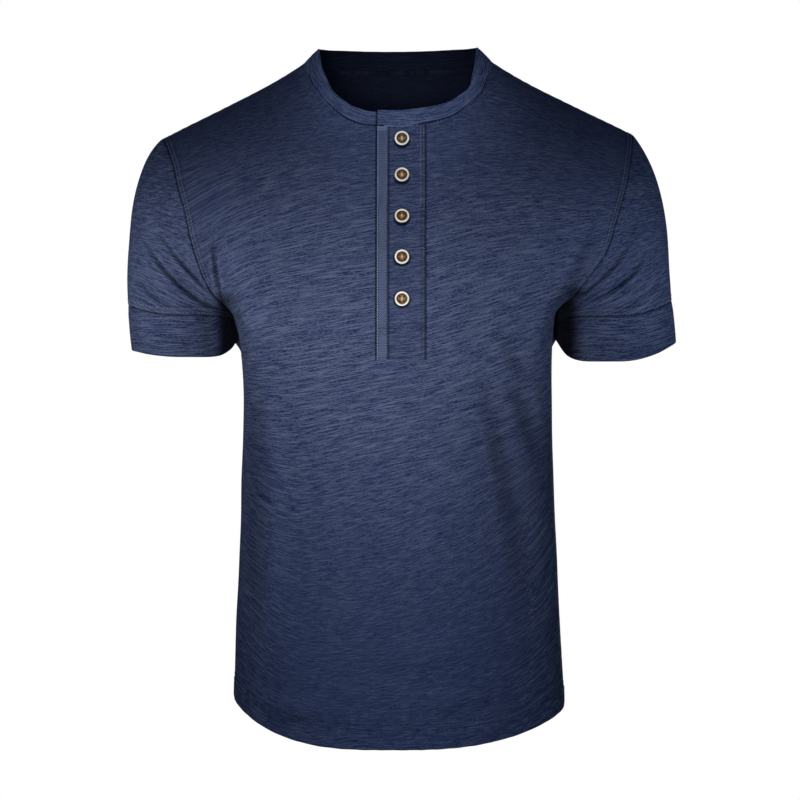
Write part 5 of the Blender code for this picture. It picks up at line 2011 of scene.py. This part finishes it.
def thread_path(first, last, shift, matrix):
    """A thread that comes out of one hole, bows outwards over the button's face and goes into another."""
    floor = BUTTON_THICKNESS - BUTTON_RECESS
    inward = -(first + last).normalized()
    path = []
    start, span = BUTTON_THREAD_BOW
    for share in np.linspace(0, 1, BUTTON_THREAD_SAMPLES):
        turn = math.pi * min(max((share - start) / span, 0), 1)
        bow = min(BUTTON_THREAD_STEEPNESS * math.sin(turn), 1.0)
        spread = BUTTON_THREAD_START + (shift - BUTTON_THREAD_START) * bow
        spot = first.lerp(last, float(share)) + inward * spread
        rise = floor + BUTTON_THREAD_RISE * bow
        if share < BUTTON_THREAD_ENDS or share > 1 - BUTTON_THREAD_ENDS:
            rise = floor - BUTTON_THREAD_SINK
        path.append(matrix @ (spot + Vector((0, 0, rise))))
    return path


def button_threads(number, matrix, finish):
    """Two upright bars of thread side by side between the holes, each let into one pair of them."""
    spots = button_holes()
    build = bmesh.new()
    for first, last in ((spots[0], spots[3]), (spots[1], spots[2])):
        for shift in BUTTON_THREAD_SHIFTS:
            path = thread_path(first, last, shift, matrix)
            add_tube(build, path, BUTTON_THREAD_RADIUS, BUTTON_THREAD_SIDES)
    mesh = mesh_from(build, f"button_{number}_thread")
    mesh.shade_smooth()
    piece = new_piece(f"button_{number}_thread", mesh, [finish])


def add_tube(build, path, radius, sides):
    """A round thread along a path, added to a mesh being built."""
    rings = []
    for number, spot in enumerate(path):
        ahead = (path[min(number + 1, len(path) - 1)] - path[max(number - 1, 0)]).normalized()
        side = ahead.cross(TUBE_AIM).normalized()
        up = side.cross(ahead)
        turns = [2 * math.pi * step / sides for step in range(sides)]
        ring = [spot + (side * math.cos(turn) + up * math.sin(turn)) * radius for turn in turns]
        rings.append([build.verts.new(place) for place in ring])
    for first, second in zip(rings, rings[1:]):
        for step in range(sides):
            after = (step + 1) % sides
            build.faces.new((first[step], first[after], second[after], second[step]))
    build.faces.new(rings[0][::-1])
    build.faces.new(rings[-1])


def neck_topstitch(front, back, away):
    """Lines that far below the neckband's seam, on the front beside the placket and on the back."""
    slot = OUTER_COLUMNS + FRONT_NECK_COLUMNS
    beyond = slot + SLOT_COLUMNS
    return [
        inset(front, "top", away, part=slice(OUTER_COLUMNS, slot - 2)),
        inset(front, "top", away, part=slice(beyond + 3, beyond + FRONT_NECK_COLUMNS)),
        inset(back, "top", away, part=slice(OUTER_COLUMNS, OUTER_COLUMNS + BACK_NECK_COLUMNS)),
    ]


def seam_rows(front, back):
    """Lines sunk into the side seams and into the seams of the sleeve bands."""
    rows = []
    low = slice(0, ARMHOLE_FIRST_ROW)
    for edge, other in (("right", "left"), ("left", "right")):
        pairs = zip(inset(front, edge, 0.0, part=low), inset(back, other, 0.0, part=low))
        spots, normals = (first + second for first, second in pairs)
        rows.append((spots / 2 - normals * SIDE_SEAM_DEPTH, normals / 2))
    for arm in (RIGHT, LEFT):
        spots, normals = inset(sleeve_surface(arm), LOWER_EDGE[arm], 0.0, closed=True)
        rows.append((spots - normals * CUFF_SEAM_DEPTH, normals))
    return rows


def between_places(start, end):
    share = np.linspace(0, 1, STITCH_LINE_SAMPLES)[:, None]
    return np.array(start) * (1 - share) + np.array(end) * share


def placket_rows():
    """Rows on the placket and its tape: the short ones at the foot, then the long ones along the edges."""
    rows = [on_strip(between_places(start, end), lift) for (start, end), lift in PLACKET_STITCHES]
    rows += [inset(placket_top_surface(), edge, away) for edge, away in PLACKET_ROWS_AWAY]
    rows += [inset(tape_surface(), edge, away) for edge, away in TAPE_ROWS_AWAY]
    return rows


def buttonhole_rows():
    """Close bars of thread on both sides of each buttonhole, seen at the button's edge."""
    start, end = (BUTTON_ACROSS + reach for reach in BUTTONHOLE_REACH)
    return [
        on_strip([(across, height + low), (across, height + high)], PLACKET_LIFT + BUTTONHOLE_LIFT)
        for height in BUTTON_HEIGHTS
        for across in np.arange(start, end, BUTTONHOLE_PITCH)
        for low, high in BUTTONHOLE_BARS
    ]


def colour_setting(name, description, default):
    return bpy.props.FloatVectorProperty(
        name=name, description=description, subtype="COLOR", size=3, min=0, max=1, default=default
    )


def number_setting(name, description, default, **limits):
    return bpy.props.FloatProperty(name=name, description=description, default=default, **limits)


class HenleyCloth(bpy.types.PropertyGroup):
    middle_colour: colour_setting("Jersey", "Colour of most of the jersey", (0.041, 0.059, 0.140))
    deep_colour: colour_setting("Thin yarn", "Colour where the yarn is thin", (0.0125, 0.0200, 0.0740))
    pale_colour: colour_setting("Thick yarn", "Colour of the slubs", (0.112, 0.139, 0.236))
    slub_contrast: number_setting("Slub contrast", "How strongly the slubs stand out", 1.2, min=0, max=2)
    slub_length: number_setting("Slub length", "Length of the slubs against the usual", 1.0, min=0.3, max=3)
    # Painted shade: how dark the inside of the shirt is painted, against the outer face
    inside_shadow_share: number_setting("Reverse", "Shade of the inner face against the outer", 0.15, min=0, max=1)
    sheen: number_setting("Sheen", "Soft glow of the yarn's fuzz", 0.02, min=0, max=1)


class HenleySewing(bpy.types.PropertyGroup):
    thread_colour: colour_setting("Thread", "Colour of the sewing thread", (0.170, 0.209, 0.350))
    stitch_length: number_setting("Stitch", "Length of a stitch", 0.0026, unit="LENGTH", precision=4)
    stitch_gap: number_setting("Gap", "Gap between two stitches", 0.0007, unit="LENGTH", precision=4)
    thread_radius: number_setting(
        "Thread radius", "Half the thickness of the thread", 0.00042, unit="LENGTH", precision=5
    )


class HenleyTrim(bpy.types.PropertyGroup):
    tape_dark: colour_setting("Tape shade", "Darker ribs of the tape", (0.046, 0.066, 0.128))
    tape_pale: colour_setting("Tape", "Paler ribs of the tape", (0.140, 0.182, 0.310))
    tape_fleck: colour_setting("Tape fleck", "Stray pale fibres in the tape", (0.17, 0.20, 0.30))
    rim_pale: colour_setting("Button rim", "Rim of the buttons", (1.0, 0.97, 0.91))
    rim_deep: colour_setting("Rim shade", "Streaks in the rim", (0.98, 0.94, 0.87))
    centre_pale: colour_setting("Button centre", "Sunk centre of the buttons", (0.130, 0.055, 0.020))
    centre_deep: colour_setting("Centre shade", "Streaks in the centre", (0.040, 0.018, 0.008))
    centre_middle: colour_setting("Centre middle", "Paler middle of the centre", (0.30, 0.16, 0.07))
    # Painted shade: the near-black of the holes' walls
    hole: colour_setting("Button hole", "Inside of the four holes", (0.004, 0.003, 0.002))
    button_thread: colour_setting("Button thread", "Thread that holds the buttons", (0.80, 0.60, 0.36))


class HenleyStage(bpy.types.PropertyGroup):
    floor_colour: colour_setting("Floor", "Colour of the floor", (0.86, 0.86, 0.86))
    floor_drop: number_setting("Floor below", "How far the floor is below the neck", 1.45, unit="LENGTH")
    key_power: number_setting(
        "Key light", "Power of the lights before the shirt", 0.250, unit="POWER", precision=4
    )
    fill_power: number_setting("Fill light", "Power of the lights behind it", 1.3, unit="POWER")
    room_light: number_setting("Room light", "Light from all round", 0.06, min=0, max=2)


class HENLEY_OT_body(bpy.types.Operator):
    """Makes the front and back panels"""

    bl_idname = "henley.body"
    bl_label = "Front and back"

    def execute(self, context):
        cloth_set = context.scene.henley_cloth
        inside_shadow = inside_shadow_material(cloth_set)
        grid = front_surface()
        finish = jersey_material("jersey_front", cloth_set)
        front = make_panel("cloth_front", grid, FRONT, [finish, inside_shadow], slot_mask(*grid.shape[:2]))
        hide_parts("front")
        finish = jersey_material("jersey_back", cloth_set)
        back = make_panel("cloth_back", back_surface(), BACK, [finish, inside_shadow])
        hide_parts("back")
        return {"FINISHED"}


class HENLEY_OT_sleeves(bpy.types.Operator):
    """Makes both sleeves and the bands round their ends"""

    bl_idname = "henley.sleeves"
    bl_label = "Sleeves and sleeve bands"

    def execute(self, context):
        cloth_set = context.scene.henley_cloth
        inside_shadow = inside_shadow_material(cloth_set)
        for arm, name in ARM_NAMES.items():
            finish = jersey_material(f"jersey_sleeve_{name}", cloth_set)
            sleeve = sleeve_piece(arm, [finish, inside_shadow])
            finish = jersey_material("jersey_band", cloth_set)
            cuff = cuff_piece(arm, [finish, inside_shadow])
        return {"FINISHED"}


class HENLEY_OT_neckband(bpy.types.Operator):
    """Makes the neckband, folded along its top"""

    bl_idname = "henley.neckband"
    bl_label = "Neckband"

    def execute(self, context):
        cloth_set = context.scene.henley_cloth
        grid = folded_over(neckband_surface(), NECKBAND_FOLD, NECKBAND_ROWS)
        lines = neck_topstitch(front_surface(), back_surface(), SEAM_ALLOWANCE)
        rings = allowance(grid[0], lines, False)
        finish = jersey_material("jersey_neckband", cloth_set)
        made = cloth(
            "cloth_neckband", grid, band_pattern(grid), BAND_LAYER, [finish, inside_shadow_material(cloth_set)],
            inside=(NECKBAND_ROWS + 3, len(grid)),
            turned=[("bottom", BAND_LAYER, rings)] + turned_in(BAND_LAYER, "right", "left"),
        )
        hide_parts("neckband")
        return {"FINISHED"}


class HENLEY_OT_placket(bpy.types.Operator):
    """Makes the two placket strips and the tape"""

    bl_idname = "henley.placket"
    bl_label = "Placket"

    def execute(self, context):
        settings = context.scene
        finish = jersey_material("jersey_placket", settings.henley_cloth)
        strips = (
            ("cloth_placket_top", "placket_top", placket_top_surface(), PLACKET_TURN),
            ("cloth_placket_under", "placket_under", placket_under_surface(), UNDER_TURN),
        )
        for name, replaced, grid, depth in strips:
            pattern = np.stack([grid[..., 0], grid[..., 2] - PLACKET_SLOPE * grid[..., 0]], axis=-1)
            made = cloth(
                name, grid, pattern, PLACKET_LAYER, [finish],
                turned=turned_in(depth, "bottom", "right", "left"), look=placket_look(grid),
            )
            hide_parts(replaced)
        grid = tape_surface()
        pattern = np.stack([grid[..., 0] - PLACKET_RIGHT, grid[..., 2]], axis=-1)
        tape = cloth(
            "cloth_placket_tape", grid, pattern, TAPE_LAYER,
            [tape_material("herringbone_tape", settings.henley_trim)],
            turned=turned_in(TAPE_TURN, "right", "left", "bottom"),
        )
        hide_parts("placket_tape")
        return {"FINISHED"}


class HENLEY_OT_buttons(bpy.types.Operator):
    """Makes the five buttons and the thread that holds them"""

    bl_idname = "henley.buttons"
    bl_label = "Buttons"

    def execute(self, context):
        trim = context.scene.henley_trim
        thread = thread_material("button_thread", trim.button_thread, 0.6, shaded=False)
        finishes = [
            horn_material("button_rim", trim.rim_deep, trim.rim_pale, 0.22, 420),
            horn_material("button_centre", trim.centre_deep, trim.centre_pale, 0.3, 520, trim.centre_middle),
            hole_shadow_material("button_hole", trim),
        ]
        for number, (height, tilt) in enumerate(zip(BUTTON_HEIGHTS, BUTTON_TILTS), start=1):
            matrix = button_place(height, tilt)
            button_piece(number, matrix, finishes)
            button_threads(number, matrix, thread)
        return {"FINISHED"}


class HENLEY_OT_sewing(bpy.types.Operator):
    """Sews the seams, hems and placket with rows of thread"""

    bl_idname = "henley.sewing"
    bl_label = "Sewing"

    def execute(self, context):
        sewing = context.scene.henley_sewing
        finish = thread_material("sewing_thread", sewing.thread_colour, 0.5)
        # A near-black copy of the thread, sunk into the side and band seams and used at the placket's foot:
        # painted shade of the seam lines and thread holes
        dark = thread_material("sewing_thread_dark", tinted(sewing.thread_colour, 0.10), 0.5)
        front, back = front_surface(), back_surface()
        rows = [
            inset(grid, edge, away, part=slice(ARMHOLE_FIRST_ROW + skipped, None))
            for grid, skipped in ((front, ARMHOLE_ROWS_SKIPPED), (back, 0))
            for edge in ("right", "left")
            for away in ARMHOLE_ROWS
        ]
        make_stitches("stitches_armholes", rows, sewing, finish)
        rows = [inset(grid, "bottom", away) for grid in (front, back) for away in HEM_ROWS_AWAY]
        make_stitches("stitches_hem", rows, sewing, finish, **HEM_THREAD)
        rows = [
            inset(sleeve_surface(arm), LOWER_EDGE[arm], away, closed=True)
            for arm in (RIGHT, LEFT)
            for away in CUFF_ROWS_AWAY
        ]
        make_stitches("stitches_sleeves", rows, sewing, finish)
        rows = [inset(neckband_surface(), "bottom", away) for away in BAND_ROWS_AWAY]
        rows += neck_topstitch(front, back, NECK_ROW_AWAY)
        make_stitches("stitches_neck", rows, sewing, finish)
        rows = [
            inset(back, "top", SHOULDER_ROW_AWAY, part=part)
            for part in (slice(1, OUTER_COLUMNS + 1), slice(-OUTER_COLUMNS - 1, -1))
        ]
        make_stitches("stitches_shoulders", rows, sewing, finish)
        make_stitches("stitches_seams", seam_rows(front, back), sewing, dark, **SEAM_THREAD)
        rows = placket_rows()
        make_stitches("stitches_placket", rows[FOOT_DARK_ROWS:], sewing, finish, **PLACKET_THREAD)
        make_stitches("stitches_placket_foot", rows[:FOOT_DARK_ROWS], sewing, dark, **FOOT_THREAD)
        make_stitches("stitches_buttonholes", buttonhole_rows(), sewing, finish, **BUTTONHOLE_THREAD)
        return {"FINISHED"}


class HENLEY_OT_stage(bpy.types.Operator):
    """Sets out the floor, the lights, the background and the camera"""

    bl_idname = "henley.stage"
    bl_label = "Stage"

    def execute(self, context):
        settings = context.scene.henley_stage
        make_floor(settings)
        make_world(settings)
        for lamp in LAMPS:
            add_lamp(lamp, settings.key_power)
        for lamp in FILLS:
            add_lamp(lamp, settings.fill_power)
        make_camera()
        context.scene.view_settings.view_transform = "Standard"
        context.scene.view_settings.look = "None"
        return {"FINISHED"}


def make_floor(settings):
    """A pale floor that looks lit and gives the shirt no light."""
    build = bmesh.new()
    bmesh.ops.create_grid(build, x_segments=2, y_segments=2, size=FLOOR_SIZE)
    mesh = mesh_from(build, "floor")
    floor = bpy.data.objects.new("floor", mesh)
    floor.location = (0, 0, -settings.floor_drop)
    floor.visible_diffuse = False
    floor.visible_glossy = False
    bpy.context.scene.collection.objects.link(floor)
    made, tree, shader = new_material("floor_paint")
    grain = noise(tree, Scale=6)
    shade = mixed(tree, grain, tinted(settings.floor_colour, 0.97), tinted(settings.floor_colour))
    feed_named(
        tree, shader, Base_Color=shade, Emission_Color=shade, Roughness=0.8, Emission_Strength=FLOOR_GLOW
    )
    mesh.materials.append(made)


def make_world(settings):
    """White where the camera sees it, and dimmer as light."""
    world = bpy.data.worlds.new("studio")
    world.use_nodes = True
    tree = world.node_tree
    tree.nodes.clear()
    path = node(tree, "ShaderNodeLightPath")
    seen = node(tree, "ShaderNodeBackground")
    feed_named(tree, seen, Color=(1, 1, 1, 1), Strength=1.0)
    glow = node(tree, "ShaderNodeBackground")
    feed_named(tree, glow, Color=GLOW, Strength=settings.room_light)
    mix = node(tree, "ShaderNodeMixShader")
    end = node(tree, "ShaderNodeOutputWorld")
    for socket, value in zip(mix.inputs, (path.outputs["Is Camera Ray"], glow.outputs[0], seen.outputs[0])):
        tree.links.new(value, socket)
    tree.links.new(mix.outputs[0], end.inputs["Surface"])
    bpy.context.scene.world = world


def add_lamp(lamp, power):
    data = bpy.data.lights.new(lamp.name, "AREA")
    data.shape = "DISK"
    data.size = lamp.size
    data.energy = power * lamp.share
    data.color = lamp.colour
    data.spread = math.radians(lamp.spread)
    light = bpy.data.objects.new(lamp.name, data)
    light.location = lamp.place
    light.rotation_euler = (Vector(lamp.aim) - Vector(lamp.place)).to_track_quat("-Z", "Y").to_euler()
    bpy.context.scene.collection.objects.link(light)


def make_camera():
    data = bpy.data.cameras.new("camera")
    data.sensor_width = 36.0
    data.lens = CAMERA_LENS
    camera = bpy.data.objects.new("camera", data)
    camera.location = CAMERA_PLACE
    camera.rotation_euler = (math.radians(90), 0, 0)
    bpy.context.scene.collection.objects.link(camera)
    bpy.context.scene.camera = camera


class HENLEY_PT_panel(bpy.types.Panel):
    """Lists the steps and the settings of the shirt"""

    bl_label = "Henley T-shirt"
    bl_idname = "HENLEY_PT_panel"
    bl_space_type = "VIEW_3D"
    bl_region_type = "UI"
    bl_category = "Henley"

    def draw(self, context):
        layout = self.layout
        for step in STEPS:
            layout.operator(step.bl_idname)
        for name in SETTINGS:
            box = layout.box()
            group = getattr(context.scene, name)
            for key in group.bl_rna.properties.keys():
                if key not in ("rna_type", "name"):
                    box.prop(group, key)


STEPS = (
    HENLEY_OT_body,
    HENLEY_OT_sleeves,
    HENLEY_OT_neckband,
    HENLEY_OT_placket,
    HENLEY_OT_buttons,
    HENLEY_OT_sewing,
    HENLEY_OT_stage,
)
SETTINGS = {
    "henley_cloth": HenleyCloth,
    "henley_sewing": HenleySewing,
    "henley_trim": HenleyTrim,
    "henley_stage": HenleyStage,
}
CLASSES = (*SETTINGS.values(), *STEPS, HENLEY_PT_panel)


def register():
    for made in CLASSES:
        bpy.utils.register_class(made)
    for name, group in SETTINGS.items():
        setattr(bpy.types.Scene, name, bpy.props.PointerProperty(type=group))


def unregister():
    for name in SETTINGS:
        delattr(bpy.types.Scene, name)
    for made in reversed(CLASSES):
        bpy.utils.unregister_class(made)


def main():
    register()
    for step in STEPS:
        group, name = step.bl_idname.split(".")
        getattr(getattr(bpy.ops, group), name)()


if __name__ == "__main__":
    main()
